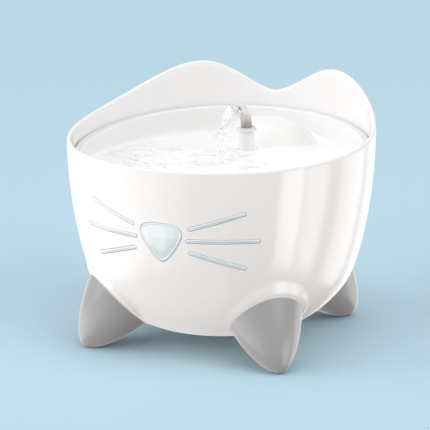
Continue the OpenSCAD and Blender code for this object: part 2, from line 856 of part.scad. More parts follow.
module volute_cover() {
    color("ghostwhite")
    difference() {
        union() {
            along_y(pump_back_y) cylinder(h = volute_l, r = volute_r + 2);
            pump_block(volute_half_w, pump_back_y, pump_back_y + 3, axis_z - volute_r - 2, axis_z + volute_r + 2, 4);
            translate([0, spigot_y, axis_z]) cylinder(h = nozzle_top_z - axis_z, r = riser_bore_r - fit_gap);
        }
        along_y(pump_back_y - 1) cylinder(h = volute_l - 1, r = volute_r);
        translate([0, spigot_y, axis_z + volute_r - 2]) cylinder(h = 30, r = spigot_bore_r);
        difference() {
            along_y(volute_back_y - 3) cylinder(h = 4, r = inlet_r);
            along_y(volute_back_y - 3) cylinder(h = 4, r = bearing_r + 1.2);
            for (i = [0:2])
                along_y(volute_back_y - spider_t)
                    rotate([0, 0, 30 + i * 120]) translate([0, -0.8, 0]) cube([inlet_r + 1, 1.6, spider_t]);
        }
        along_y(volute_back_y - 3) cylinder(h = 4, r = bearing_r);
    }
}

module intake_strainer() {
    color("gainsboro")
    difference() {
        along_y(volute_back_y) cylinder(h = 3.4, r = 12);
        along_y(volute_back_y - 1) cylinder(h = 2.8, r = 10.6);
        for (i = [-3:3])
            translate([i * 2.8 - 0.7, volute_back_y - 1, axis_z - 8 + abs(i)])
                cube([1.4, 6, 2 * (8 - abs(i))]);
    }
}

module impeller() {
    color("deepskyblue")
    difference() {
        union() {
            along_y(impeller_y) cylinder(h = disc_t, r = impeller_r);
            along_y(impeller_y) cylinder(h = disc_t + blade_h + 1.8, r = 3.2);
            for (i = [0:blade_count - 1])
                along_y(impeller_y + disc_t - eps)
                    rotate([0, 0, i * 360 / blade_count])
                        intersection() {
                            translate([0, -6.2, 0])
                                rotate([0, 0, 10])
                                    rotate_extrude(angle = 70, $fn = 48)
                                        translate([6.2, 0]) square([1, blade_h]);
                            cylinder(h = blade_h, r = impeller_r);
                        }
        }
        along_y(impeller_y - 1) cylinder(h = disc_t + blade_h + 4, r = shaft_r + run_gap);
    }
}

module rotor_magnet() {
    color("dimgray")
    difference() {
        along_y(impeller_y - magnet_l) cylinder(h = magnet_l, r = magnet_r);
        along_y(impeller_y - magnet_l - 1) cylinder(h = magnet_l + 2, r = shaft_r + run_gap);
    }
}

module rotor_shaft() {
    color("ivory")
    along_y(shaft_front_y) cylinder(h = shaft_back_y - shaft_front_y, r = shaft_r);
}

module bearing(y, l) {
    color("black")
    difference() {
        along_y(y) cylinder(h = l, r = bearing_r - fit_gap);
        along_y(y - 1) cylinder(h = l + 2, r = shaft_r + fit_gap / 2);
    }
}
module bearing_inner() { bearing(pump_back_y - well_depth, bearing_l); }
module bearing_outer() { bearing(volute_back_y - 3, bearing_l); }

core_l = 12;
core_y = pump_back_y - 12 - core_l;
core_leg = 5;
core_half_w = well_r + well_t + 1 + core_leg;
core_low_z = pump_z + pump_t + 3;

module stator_core() {
    color("silver")
    difference() {
        translate([-core_half_w, core_y, core_low_z])
            cube([2 * core_half_w, core_l, axis_z + 4 - core_low_z]);
        along_y(core_y - 1) cylinder(h = core_l + 2, r = well_r + well_t + 0.3);
        translate([-core_half_w + core_leg, core_y - 1, core_low_z + core_leg])
            cube([2 * (core_half_w - core_leg), core_l + 2, 40]);
    }
}

module stator_coil() {
    color("peru")
    difference() {
        translate([-6.8, core_y - 2.2, core_low_z - 2])
            cube([13.6, core_l + 4.4, core_leg + 3.2]);
        translate([-10, core_y - fit_gap, core_low_z - fit_gap])
            cube([20, core_l + 2 * fit_gap, core_leg + 2 * fit_gap]);
    }
}

module pump_gland() {
    color("dimgray")
    translate([0, pump_front_y, gland_z])
        rotate([-90, 0, 0])
            difference() {
                union() {
                    translate([0, 0, -4.5]) cylinder(h = 4.5, r1 = gland_r - 0.4, r2 = gland_r + 1);
                    translate([0, 0, -0.5]) cylinder(h = pump_t + 1.5, r = gland_r - fit_gap);
                }
                translate([0, 0, -6]) cylinder(h = 12, r = 1.4);
            }
}

cup_mid_y = pump_front_y + motor_l / 2;
cup_places = [for (x = [-cup_x, cup_x], y = [-cup_pitch_y / 2, cup_pitch_y / 2]) [x, cup_mid_y + y]];

module suction_cup(i) {
    color("lightgray")
    translate([cup_places[i][0], cup_places[i][1], box_floor_z])
        rotate_extrude()
            polygon([[0, 1], [cup_r - 1, 0], [cup_r, 0], [cup_r, 0.5], [3, 2.4], [3, cup_h],
                     [cup_stem_r, cup_h], [cup_stem_r, cup_h + pump_t + 0.4], [0, cup_h + pump_t + 0.4]]);
}
module suction_cup_1() { suction_cup(0); }
module suction_cup_2() { suction_cup(1); }
module suction_cup_3() { suction_cup(2); }
module suction_cup_4() { suction_cup(3); }

shell();
nose_window();
whisker_window_left();
whisker_window_right();
leg_front_left();
leg_front_right();
leg_rear_left();
leg_rear_right();
foot_pad_front_left();
foot_pad_front_right();
foot_pad_rear_left();
foot_pad_rear_right();
drinking_tray();
spout();
spout_seal();
riser_tube();
filter_box();
filter_plate();
filter_pad();
filter_cap();
pump_housing();
pump_base();
volute_cover();
intake_strainer();
impeller();
rotor_magnet();
rotor_shaft();
bearing_inner();
bearing_outer();
stator_core();
stator_coil();
pump_gland();
suction_cup_1();
suction_cup_2();
suction_cup_3();
suction_cup_4();
cord_grommet();
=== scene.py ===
import math

import bmesh
import bpy
import numpy as np
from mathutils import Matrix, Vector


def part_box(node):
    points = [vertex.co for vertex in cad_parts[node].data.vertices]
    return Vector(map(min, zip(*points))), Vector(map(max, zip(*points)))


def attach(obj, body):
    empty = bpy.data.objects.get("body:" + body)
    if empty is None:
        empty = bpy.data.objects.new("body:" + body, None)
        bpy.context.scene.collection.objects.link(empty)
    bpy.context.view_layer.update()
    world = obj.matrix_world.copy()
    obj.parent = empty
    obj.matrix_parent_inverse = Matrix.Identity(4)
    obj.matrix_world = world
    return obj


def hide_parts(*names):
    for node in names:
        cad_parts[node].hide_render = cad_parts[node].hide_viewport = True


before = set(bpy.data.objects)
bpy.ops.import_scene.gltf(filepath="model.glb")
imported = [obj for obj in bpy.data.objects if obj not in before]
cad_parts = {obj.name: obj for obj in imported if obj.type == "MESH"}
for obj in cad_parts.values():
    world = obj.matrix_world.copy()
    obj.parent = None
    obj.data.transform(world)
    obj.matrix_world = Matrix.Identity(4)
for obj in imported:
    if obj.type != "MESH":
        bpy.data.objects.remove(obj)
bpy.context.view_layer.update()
mm = 0.001

# ---- Camera ----------------------------------------------------------------------------
# A long lens from the right of the nose and from above the ears. It looks down a little and
# takes in the whole fountain.
camera_place = (475.0 * mm, -1160.2 * mm, 422.2 * mm)
camera_turn = 22.474
camera_dip = 14.806
lens = bpy.data.cameras.new("camera")
lens.sensor_width = 36
lens.lens = 143.47
lens.clip_start = 0.05
lens.clip_end = 60
camera = bpy.data.objects.new("camera", lens)
camera.location = camera_place
camera.rotation_euler = (math.radians(90 - camera_dip), 0, math.radians(camera_turn))
bpy.context.scene.collection.objects.link(camera)
bpy.context.scene.camera = camera
bpy.context.scene.view_settings.view_transform = "Standard"

# ---- Bowl ------------------------------------------------------------------------------
# One glossy white moulding: a flat base, a round belly, a straight wall, and a wavy rim whose
# two crests at the back are the ears. Four low hips on the belly carry the legs, a ledge inside
# carries the tray, and the face is cut through the wall.
up = np.array([0, 0, 1.0])
wall = 2.8 * mm
bowl_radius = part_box("shell")[1].x
base_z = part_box("shell")[0].z
base_radius = bowl_radius - 57 * mm
floor_thickness = 3 * mm
inner_floor = base_z + floor_thickness
belly = np.array([99.5, 51.0]) * mm
belly_slope = math.radians(66.5)
belly_way = np.array([math.cos(belly_slope), math.sin(belly_slope)])
shoulder = np.array([bowl_radius, 149.7 * mm])
base_pull = 6.8 * mm
belly_pulls = (23.7 * mm, 16.5 * mm)
shoulder_pull = 41 * mm
side_top = 250 * mm
side_steps = (44, 64)
rim_z = 150.4 * mm
rim_rise = 1.6 * mm
ear_height = 37.9 * mm
ear_angle = 29.7
ear_spread = 23.8
dip_depth = 22.4 * mm
dip_power = 0.8


def bezier(points, steps):
    a, b, c, d = (np.array(p) for p in points)
    t = np.linspace(0, 1, steps + 1)[:, None]
    return a * (1 - t) ** 3 + 3 * b * t * (1 - t) ** 2 + 3 * c * t * t * (1 - t) + d * t ** 3


low_side = bezier([(base_radius, base_z), (base_radius + base_pull, base_z),
                   belly - belly_way * belly_pulls[0], belly], side_steps[0])
high_side = bezier([belly, belly + belly_way * belly_pulls[1], shoulder - up[1:] * shoulder_pull, shoulder],
                   side_steps[1])
side = np.vstack([low_side, high_side[1:], [(bowl_radius, side_top)]])
side_way = np.gradient(side, axis=0)
side_out = np.column_stack([side_way[:, 1], -side_way[:, 0]]) / np.linalg.norm(side_way, axis=1)[:, None]


def bowl_r(z, lift=0.0):
    """Radius of the bowl at a height, on a face that lies lift outside its own."""
    face = side + side_out * lift
    return np.interp(z, face[:, 1], face[:, 0])


def rim_height(around):
    """Height of the rim at an angle in degrees from the middle of the back."""
    a = np.abs(around)
    tip = rim_z + rim_rise * (1 + math.cos(math.radians(ear_angle))) / 2 + ear_height
    line = rim_z + rim_rise * (1 + np.cos(np.radians(a))) / 2
    outer = line + ear_height / np.cosh((a - ear_angle) / ear_spread)
    wave = (1 - np.cos(np.radians(180 * np.minimum(a, ear_angle) / ear_angle))) / 2
    return np.where(a >= ear_angle, outer, tip - dip_depth * (1 - wave ** dip_power))


def new_piece(name, mesh):
    piece = bpy.data.objects.new(name, mesh)
    bpy.context.scene.collection.objects.link(piece)
    return piece


def tidy_mesh(mesh, crease=35):
    """Merges doubles, turns the faces outwards and keeps only edges above the crease angle sharp."""
    bm = bmesh.new()
    bm.from_mesh(mesh)
    bmesh.ops.remove_doubles(bm, verts=bm.verts, dist=0.002 * mm)
    bmesh.ops.recalc_face_normals(bm, faces=bm.faces)
    bm.to_mesh(mesh)
    bm.free()
    mesh.shade_smooth()
    mesh.set_sharp_from_angle(angle=math.radians(crease))


def skin(name, rings, crease=35):
    """A closed mesh through rings of points. A ring of one point closes an end."""
    starts = np.cumsum([0] + [len(r) for r in rings])
    faces = []
    for low, high, a, b in zip(rings, rings[1:], starts, starts[1:]):
        n = max(len(low), len(high))
        for i in range(n):
            j = (i + 1) % n
            if len(low) == 1:
                faces.append((a, b + j, b + i))
            elif len(high) == 1:
                faces.append((a + i, a + j, b))
            else:
                faces.append((a + i, a + j, b + j, b + i))
    mesh = bpy.data.meshes.new(name)
    mesh.from_pydata(np.vstack(rings).tolist(), [], faces)
    tidy_mesh(mesh, crease)
    return new_piece(name, mesh)


def capped(name, rings, crease=35):
    """A closed mesh through rings of points, with a point in the middle of each end."""
    return skin(name, [rings[0].mean(0)[None], *rings, rings[-1].mean(0)[None]], crease)


def settle(piece, crease=35):
    """Makes what the modifiers show the piece's own plain mesh."""
    seen = piece.evaluated_get(bpy.context.evaluated_depsgraph_get())
    mesh = bpy.data.meshes.new_from_object(seen)
    piece.modifiers.clear()
    piece.data = mesh
    tidy_mesh(mesh, crease)


def cut(piece, *tools, how="DIFFERENCE", crease=35):
    """Cuts the tools out of a piece, or keeps what lies inside them, and removes the tools."""
    for tool in tools:
        trim = piece.modifiers.new("cut", "BOOLEAN")
        trim.object = tool
        trim.operation = how
        trim.solver = "MANIFOLD"
    settle(piece, crease)
    for tool in tools:
        bpy.data.objects.remove(tool)


def join(piece, *others):
    """Adds the others' meshes to the piece's own."""
    bm = bmesh.new()
    for part in (piece, *others):
        bm.from_mesh(part.data)
    bm.to_mesh(piece.data)
    bm.free()
    for part in others:
        bpy.data.objects.remove(part)


def turned(name, outline, place, axis=up, turns=64, crease=35):
    """A solid of revolution: outline is (radius, height) pairs up an axis through place."""
    axis = np.array(axis, float) / np.linalg.norm(axis)
    flat = np.cross(axis, (0, 1, 0) if abs(axis[1]) < 0.9 else (1, 0, 0))
    flat /= np.linalg.norm(flat)
    across = np.cross(axis, flat)
    angles = np.arange(turns) * 2 * math.pi / turns
    spokes = np.outer(np.cos(angles), flat) + np.outer(np.sin(angles), across)
    rings = [np.array(place) + (axis * h + spokes * r if r > 0 else axis[None] * h) for r, h in outline]
    return skin(name, rings, crease)


def rod(name, radius, low, high, place, axis=up, turns=32):
    """A plain round bar from low to high along an axis through place."""
    return turned(name, [(0, low), (radius, low), (radius, high), (0, high)], place, axis, turns)


# The four legs' shape is wanted here, because the hips are grown round it.
leg_turns = {"front_left": -45, "front_right": 45, "rear_left": -132.7, "rear_right": 132.7}
leg_length = 81.9 * mm
leg_full_radius = 34.1 * mm
leg_fullness = 1.59
leg_root = 1.68
leg_lean = math.radians(40)
leg_tip_radius = bowl_radius - 4.2 * mm
leg_steps = 400
leg_grow = np.linspace(0, 1, leg_steps)
leg_swell = leg_full_radius * (1 - (1 - leg_grow) ** leg_fullness) ** (1 / leg_root)
leg_sink = 0.4 * mm
leg_tip_z = np.max(leg_swell * math.sin(leg_lean) - leg_grow * leg_length * math.cos(leg_lean)) - leg_sink
hip_shift = (1.8 * mm, 0.5 * mm)
hip_edge = 1.6 * mm
hip_blend = 3.2 * mm
hip_blend_above = 4.0 * mm
hip_passes = 24


def leg_lines(turn):
    """Outward direction, tip and axis of the leg at an angle from the nose."""
    a = math.radians(turn)
    out = np.array([math.sin(a), -math.cos(a), 0])
    return out, out * leg_tip_radius + up * leg_tip_z, up * math.cos(leg_lean) - out * math.sin(leg_lean)


def hip_rise(points, normals):
    """How far the hips stand out of the belly at points on it."""
    rise = np.zeros(len(points))
    for turn in leg_turns.values():
        out, tip, axis = leg_lines(turn)
        full = np.clip(normals @ (out * hip_shift[0] + up * hip_shift[1]), 0, None)
        h = np.zeros(len(points))
        for _ in range(hip_passes):
            q = points + normals * h[:, None] - tip
            s = q @ axis
            away = np.linalg.norm(q - s[:, None] * axis, axis=1)
            radius = np.interp(s / leg_length, leg_grow, leg_swell)
            above = np.clip((q - s[:, None] * axis) @ out / np.maximum(away, mm), 0, 1)
            blend = hip_blend + hip_blend_above * above
            u = np.clip((radius + hip_edge + blend - away) / blend, 0, 1)
            h = (h + full * u * u * (3 - 2 * u)) / 2
        rise = np.maximum(rise, np.where(points @ out > 0.5 * leg_tip_radius, h, 0))
    return rise


bowl_columns = 480
around = (np.arange(bowl_columns) * 360 / bowl_columns + 180) % 360 - 180
around_way = np.column_stack([np.sin(np.radians(around)), np.cos(np.radians(around)), 0 * around])
rim = rim_height(around)
lip = wall / 2
lip_steps = 8
straight_z = 118 * mm
outer_wall_steps = 26
inner_wall_steps = 22
base_shares = (0.3, 0.6, 0.8, 0.92)
floor_shares = (0.8, 0.5, 0.25)
floor_clearance = 0.5 * mm


def bowl_ring(radius, height):
    return around_way * np.reshape(radius, (-1, 1)) + up * np.reshape(height + 0 * around, (-1, 1))


def between(low, high, steps):
    return [low + (high - low) * k / steps for k in range(1, steps + 1)]


bowl_rings = [np.array([[0, 0, base_z]])]
bowl_rings += [bowl_ring(base_radius * share, base_z) for share in base_shares]
for (r, z), (out_r, out_z) in zip(side, side_out):
    if z < straight_z:
        ring = bowl_ring(r, z)
        normals = around_way * out_r + up * out_z
        bowl_rings.append(ring + normals * hip_rise(ring, normals)[:, None])
for z in between(straight_z, rim - lip, outer_wall_steps):
    bowl_rings.append(bowl_ring(bowl_r(z), z))
for k in range(1, lip_steps):
    a = math.pi * k / lip_steps
    bowl_rings.append(bowl_ring(bowl_radius - lip + lip * math.cos(a), rim - lip + lip * math.sin(a)))
for z in between(rim - lip, straight_z, inner_wall_steps):
    bowl_rings.append(bowl_ring(bowl_r(z, -wall), z))
for r, z in (side - side_out * wall)[::-2]:
    if inner_floor + floor_clearance < z < straight_z:
        bowl_rings.append(bowl_ring(r, z))
inner_corner = bowl_r(inner_floor, -wall)
bowl_rings.append(bowl_ring(inner_corner, inner_floor))
bowl_rings += [bowl_ring(inner_corner * share, inner_floor) for share in floor_shares]
bowl_rings.append(np.array([[0, 0, inner_floor]]))
bowl = skin("bowl", bowl_rings)

# The ledge for the tray is tilted as the tray is, and has a gap at the overflow.
tray_z = 143.7 * mm
tray_tilt = math.radians(5.66)
tray_shift = 0.7 * mm
ledge_gap = 32
ledge_steps = 180
ledge_in, ledge_out = 107.8 * mm, 113.4 * mm
ledge_low, ledge_high = -7.1 * mm, -5.1 * mm
ledge_section = [(ledge_in, ledge_low), (ledge_out, ledge_low), (ledge_out, ledge_high),
                 (ledge_in, ledge_high)]


def in_tray(points):
    """Moves points from the tilted frame of the tray to the fountain's."""
    x, y, z = np.array(points, float).reshape(-1, 3).T
    c, s = math.cos(tray_tilt), math.sin(tray_tilt)
    return np.column_stack([x, y * c - z * s, y * s + z * c + tray_z])


ledge_rings = []
for a in np.radians(np.linspace(ledge_gap - 90, 270 - ledge_gap, ledge_steps)):
    section = [(r * math.cos(a), r * math.sin(a) + tray_shift, h) for r, h in ledge_section]
    ledge_rings.append(in_tray(section))
ledge = capped("ledge", ledge_rings)

# Pegs hold the legs. Each stands where its leg's axis enters the belly.
peg_radius = 5 * mm
peg_length = 14 * mm
peg_bevel = 0.5 * mm
peg_root = 1 * mm
peg_search = np.linspace(20, 60, 200) * mm
for turn in leg_turns.values():
    out, tip, axis = leg_lines(turn)
    reach = min(peg_search, key=lambda s: abs((tip + axis * s) @ out - bowl_r((tip + axis * s)[2])))
    low = reach - peg_length
    peg = [(0, low), (peg_radius - peg_bevel, low), (peg_radius, low + peg_bevel),
           (peg_radius, reach + peg_root), (0, reach + peg_root)]
    join(ledge, turned("peg", peg, tip, axis, 32))

# ---- Face ------------------------------------------------------------------------------
# The nose and the whiskers are windows of pale blue polycarbonate. Each is pushed through the
# wall from inside until its flange meets the wall, and stands a little proud outside.
face_z = 100.7 * mm
nose_half = np.array([15.5, 14.5]) * mm
nose_marks = np.array([(-0.7, 0.83), (0.7, 0.83), (1.08, 0.48), (0.95, -0.12), (0.2, -1.2), (-0.2, -1.2),
                       (-0.95, -0.12), (-1.08, 0.48)])
whisker_width = 3.3 * mm
whisker_root = 10.4
whisker_rows = {8.7 * mm: (17, 41 * mm), 0: (0, 49 * mm), -8.7 * mm: (-17, 41 * mm)}
seam = 0.15 * mm
flange = 1.2 * mm
nose_curve_steps = 12
bar_end_steps = 13
bar_side_steps = 19


def nose_outline(grow):
    """The nose's closed outline, grown outwards, as a soft curve between its marks."""
    marks = nose_marks * (nose_half + grow)
    t = np.linspace(0, 1, nose_curve_steps, endpoint=False)[:, None]
    runs = []
    for k in range(len(marks)):
        before, here, after = marks[k - 1], marks[k], marks[(k + 1) % len(marks)]
        runs.append((before + here) / 2 * (1 - t) ** 2 + 2 * here * t * (1 - t) + (here + after) / 2 * t * t)
    return np.vstack(runs)


def bar_outline(length, slope, grow):
    """A whisker's closed outline: a bar with round ends, grown outwards."""
    a = np.radians(np.linspace(-90, 90, bar_end_steps))
    end = np.column_stack([np.cos(a), np.sin(a)]) * (whisker_width / 2 + grow)
    reach = length * math.cos(slope) / 2
    run = np.linspace(-0.9, 0.9, bar_side_steps)
    edge = np.column_stack([run * reach, 0 * run + whisker_width / 2 + grow])
    loop = np.vstack([end + (reach, 0), edge[::-1], -end - (reach, 0), -edge[::-1]])
    c, s = math.cos(slope), math.sin(slope)
    return loop @ np.array([[c, s], [-s, c]])


def on_bowl(flat, turn, height, lift):
    """Lays a flat outline on the bowl, turn degrees from the nose, lift outside the bowl's face."""
    a = math.radians(turn)
    out, along = np.array([math.sin(a), -math.cos(a), 0]), np.array([math.cos(a), math.sin(a), 0])
    z = height + flat[:, 1]
    depth = np.sqrt(np.maximum(bowl_r(z, lift) ** 2 - flat[:, 0] ** 2, 0))
    return np.outer(depth, out) + np.outer(flat[:, 0], along) + np.outer(z, up)


def whisker_place(side, row):
    """Turn from the nose, height and slope of one whisker's middle."""
    slope, length = whisker_rows[row]
    slope = math.radians(slope)
    turn = whisker_root + math.degrees(length / 2 / bowl_r(face_z + row))
    return side * turn, face_z + row + length * math.sin(slope) / 2, side * slope, length


face_reach = np.array([-9, -4, 0, 4, 9]) * mm


def face_tool(outline, turn, height):
    """A cutter that goes through the wall with an outline laid on the bowl."""
    return capped("tool", [on_bowl(outline, turn, height, lift) for lift in face_reach])


face_tools = [face_tool(nose_outline(0), 0, face_z)]
for side_sign in (-1, 1):
    for row in whisker_rows:
        turn, height, slope, length = whisker_place(side_sign, row)
        face_tools.append(face_tool(bar_outline(length, slope, 0), turn, height))
grommet_z = 116.7 * mm
grommet_radius = 5.5 * mm
grommet_cut = 24 * mm
grommet_place = (0, bowl_r(grommet_z) - grommet_cut / 2, grommet_z)
face_tools.append(rod("tool", grommet_radius, 0, grommet_cut, grommet_place, (0, 1, 0), 48))
cut(bowl, *face_tools)
join(bowl, ledge)
tidy_mesh(bowl.data)


def put(tree, kind, feeds=None, **settings):
    """Adds a node, sets its settings, and feeds its sockets with values, outputs or nodes' first outputs."""
    node = tree.nodes.new(kind)
    for key, value in settings.items():
        setattr(node, key, value)
    for socket, value in (feeds or {}).items():
        if isinstance(value, bpy.types.Node):
            value = value.outputs[0]
        if isinstance(value, bpy.types.NodeSocket):
            tree.links.new(value, node.inputs[socket])
        else:
            node.inputs[socket].default_value = value
    return node


def reckon(tree, operation, *terms):
    return put(tree, "ShaderNodeMath", dict(enumerate(terms)), operation=operation).outputs[0]


def steer(tree, operation, *terms):
    """Vector arithmetic; a length is a number, the rest are vectors."""
    node = put(tree, "ShaderNodeVectorMath", dict(enumerate(terms)), operation=operation)
    return node.outputs["Value" if operation == "LENGTH" else "Vector"]


def ramp(tree, value, start, end, first=0.0, last=1.0, **settings):
    """Goes from first to last as the value goes from start to end, and stays there beyond."""
    feeds = dict(enumerate((value, start, end, first, last)))
    return put(tree, "ShaderNodeMapRange", feeds, **settings).outputs[0]


def mixed(tree, share, *shades):
    """Mixes two shades, each a node's output or red, green and blue."""
    low, high = (s if isinstance(s, bpy.types.NodeSocket) else (*s, 1) for s in shades)
    return put(tree, "ShaderNodeMix", {0: share, 6: low, 7: high}, data_type="RGBA").outputs[2]


def xyz(tree, **parts):
    return put(tree, "ShaderNodeCombineXYZ", parts)


def object_place(tree):
    return tree.nodes.new("ShaderNodeTexCoord").outputs["Object"]


def object_xyz(tree):
    return put(tree, "ShaderNodeSeparateXYZ", {0: object_place(tree)}).outputs


def from_axis(tree, axis_y=0.0):
    """Distance from the upright line at x = 0 and y = axis_y."""
    moved = steer(tree, "ADD", object_place(tree), (0, -axis_y, 0))
    return steer(tree, "LENGTH", steer(tree, "MULTIPLY", moved, (1, 1, 0)))


cloud_span = (0.2, 0.8)


def moulded_surface():
    """A moulded surface's slow change of shade and gloss, and its fine skin, from Object coordinates."""
    group = bpy.data.node_groups.new("moulded surface", "ShaderNodeTree")
    for in_out, kind, *names in (
        ("INPUT", "Color", "Shade", "Second shade"),
        ("INPUT", "Float", "Cloud scale", "Dullest", "Glossiest", "Skin scale", "Skin depth"),
        ("OUTPUT", "Color", "Color"),
        ("OUTPUT", "Float", "Roughness"),
        ("OUTPUT", "Vector", "Normal"),
    ):
        for name in names:
            group.interface.new_socket(name, in_out=in_out, socket_type=f"NodeSocket{kind}")
    given = group.nodes.new("NodeGroupInput").outputs
    place = object_place(group)
    cloud = put(group, "ShaderNodeTexNoise", {"Vector": place, "Scale": given["Cloud scale"], "Detail": 3.0})
    grain = put(group, "ShaderNodeTexNoise", {"Vector": place, "Scale": given["Skin scale"], "Detail": 2.0})
    shade = mixed(group, cloud, given["Shade"], given["Second shade"])
    gloss = ramp(group, cloud, *cloud_span, given["Glossiest"], given["Dullest"])
    bump = put(group, "ShaderNodeBump", {"Height": grain, "Distance": given["Skin depth"], "Strength": 1.0})
    put(group, "NodeGroupOutput", {"Color": shade, "Roughness": gloss, "Normal": bump})
    return group


moulded = moulded_surface()


def moulding(name, shade, second, gloss, skin_mm=1.5, skin_depth=0.004, cloud_mm=60, **constants):
    """A plastic, rubber or ceramic whose shade, gloss and skin vary a little; constants go on the shader."""
    material = bpy.data.materials.new(name)
    material.use_nodes = True
    tree = material.node_tree
    shader = tree.nodes["Principled BSDF"]
    surface = put(tree, "ShaderNodeGroup", node_tree=moulded)
    values = {"Shade": (*shade, 1), "Second shade": (*second, 1), "Cloud scale": 1000 / cloud_mm,
              "Glossiest": gloss[0], "Dullest": gloss[1], "Skin scale": 1000 / skin_mm,
              "Skin depth": skin_depth * mm}
    for socket, value in values.items():
        surface.inputs[socket].default_value = value
    for made, wanted in (("Color", "Base Color"), ("Roughness", "Roughness"), ("Normal", "Normal")):
        tree.links.new(surface.outputs[made], shader.inputs[wanted])
    for socket, value in constants.items():
        shader.inputs[socket.replace("_", " ")].default_value = value
    return material


def own_shade(tree):
    """The shade that a moulding's surface group gives."""
    return tree.nodes["Group"].outputs["Color"]


def recolour(tree, shade):
    tree.links.new(shade, tree.nodes["Principled BSDF"].inputs["Base Color"])


def hand_in(piece, material, node, body):
    """Gives a finished piece its material, puts it on its body, and hides the CAD node that it stands for."""
    piece.data.materials.clear()
    piece.data.materials.append(material)
    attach(piece, body)
    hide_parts(node)


bowl_white = moulding("bowl white", (0.908, 0.886, 0.875), (0.888, 0.867, 0.857), (0.19, 0.24),
                      skin_mm=9, skin_depth=0.006, cloud_mm=90, Coat_Weight=0.25, Coat_Roughness=0.12)
# The inside of the bowl above the tray is painted a shade lighter than the outside: painted light on the inner
# wall.
inside_radii = (112.9 * mm, 113.9 * mm)
inside_foot = 125 * mm
inside_painted_light = (0.94, 0.931, 0.925)
tree = bowl_white.node_tree
above_tray = reckon(tree, "GREATER_THAN", object_xyz(tree)[2], inside_foot)
inside = reckon(tree, "MULTIPLY", ramp(tree, from_axis(tree), *inside_radii, 1.0, 0.0), above_tray)
recolour(tree, mixed(tree, inside, own_shade(tree), inside_painted_light))
hand_in(bowl, bowl_white, "shell", "reservoir")


def window(name, outline, turn, height, steps):
    """One window: closed rings from its back face, round its flange and edge, to its front."""
    rings = [on_bowl(outline(grow), turn, height, lift) for grow, lift in steps]
    return capped(name, rings, crease=50)


behind = -wall - 0.1 * mm
back = behind - flange
nose_steps = [(0.3 * nose_half[0] - nose_half[0], back), (1.2 * mm, back), (1.5 * mm, back + 0.2 * mm),
              (1.5 * mm, behind), (-seam, behind), (-seam, -0.8 * mm), (-seam - 0.2 * mm, -0.25 * mm),
              (-seam - 0.32 * mm, 0.2 * mm), (-seam - 0.55 * mm, 0.47 * mm), (-1.05 * mm, 0.58 * mm),
              (-1.45 * mm, 0.54 * mm), (-1.9 * mm, 0.3 * mm), (-2.3 * mm, 0.3 * mm), (-3.5 * mm, 0.55 * mm),
              (-6 * mm, 0.8 * mm), (-9 * mm, 0.95 * mm), (-12 * mm, 1.0 * mm)]
nose = window("nose_window.glazing", nose_outline, 0, face_z, nose_steps)
bar_steps = [(-1.2 * mm, back), (0.6 * mm, back), (0.6 * mm, behind), (-seam, behind), (-seam, -0.7 * mm),
             (-seam - 0.15 * mm, -0.2 * mm), (-seam - 0.25 * mm, 0.12 * mm), (-seam - 0.45 * mm, 0.32 * mm),
             (-0.9 * mm, 0.42 * mm), (-1.3 * mm, 0.46 * mm)]
# A web behind the wall holds the three bars of a side together.
web_ends = np.array([1, 25.5])
web_half = 21 * mm
web_steps = 40
web_gap = 0.2 * mm
whiskers = {}
for label, side_sign in (("left", -1), ("right", 1)):
    bars = []
    for row in whisker_rows:
        turn, height, slope, length = whisker_place(side_sign, row)
        bars.append(window("whisker", lambda grow: bar_outline(length, slope, grow), turn, height, bar_steps))
    web_turns = np.radians(side_sign * np.linspace(*(whisker_root + web_ends), web_steps))
    web_heights = face_z + np.array([-1, 1, 1, -1]) * web_half
    web_radii = bowl_r(web_heights) + np.array([back, back, behind - web_gap, behind - web_gap])
    web = capped("web", [np.column_stack([np.sin(a) * web_radii, -np.cos(a) * web_radii, web_heights])
                         for a in web_turns])
    join(bars[0], bars[1], bars[2], web)
    bars[0].name = f"whisker_window_{label}.glazing"
    whiskers[label] = bars[0]

# The nose shows the water behind it as painted shade: paler above its line, a little deeper below.
water_line = face_z + 1.2 * mm
line_blur = 0.5 * mm
nose_reach = 17.5 * mm
air_tone = (0.76, 0.84, 0.88)
water_tone = (0.69, 0.79, 0.83)
window_blue = moulding("window blue", (0.76, 0.84, 0.875), (0.80, 0.875, 0.905), (0.08, 0.16), skin_mm=2.5,
                       skin_depth=0.006, cloud_mm=12, Coat_Weight=0.4, Coat_Roughness=0.05)
tree = window_blue.node_tree
x, _, z = object_xyz(tree)
air = ramp(tree, z, water_line - line_blur, water_line + line_blur)
in_nose = reckon(tree, "LESS_THAN", reckon(tree, "ABSOLUTE", x), nose_reach)
recolour(tree, mixed(tree, in_nose, own_shade(tree), mixed(tree, air, water_tone, air_tone)))
hand_in(nose, window_blue, "nose_window", "reservoir")
for label, piece in whiskers.items():
    hand_in(piece, window_blue, f"whisker_window_{label}", "reservoir")

# ---- Legs ------------------------------------------------------------------------------
# Four cones of satin grey ABS, bored for the bowl's pegs. Each is a bullet of revolution that
# leans towards the middle, is cut to the belly it is pushed against, and stands on a rubber pad.
pad_height = 1.7 * mm


def sized_tree(name, **sizes):
    """A Geometry Nodes tree with a named input for each size or count and for the material."""
    tree = bpy.data.node_groups.new(name, "GeometryNodeTree")
    tree.interface.new_socket("Geometry", in_out="INPUT", socket_type="NodeSocketGeometry")
    for label, value in sizes.items():
        kind = "NodeSocketInt" if isinstance(value, int) else "NodeSocketFloat"
        socket = tree.interface.new_socket(label.replace("_", " "), in_out="INPUT", socket_type=kind)
        socket.default_value = value
    tree.interface.new_socket("Material", in_out="INPUT", socket_type="NodeSocketMaterial")
    tree.interface.new_socket("Geometry", in_out="OUTPUT", socket_type="NodeSocketGeometry")
    return tree, tree.nodes.new("NodeGroupInput").outputs


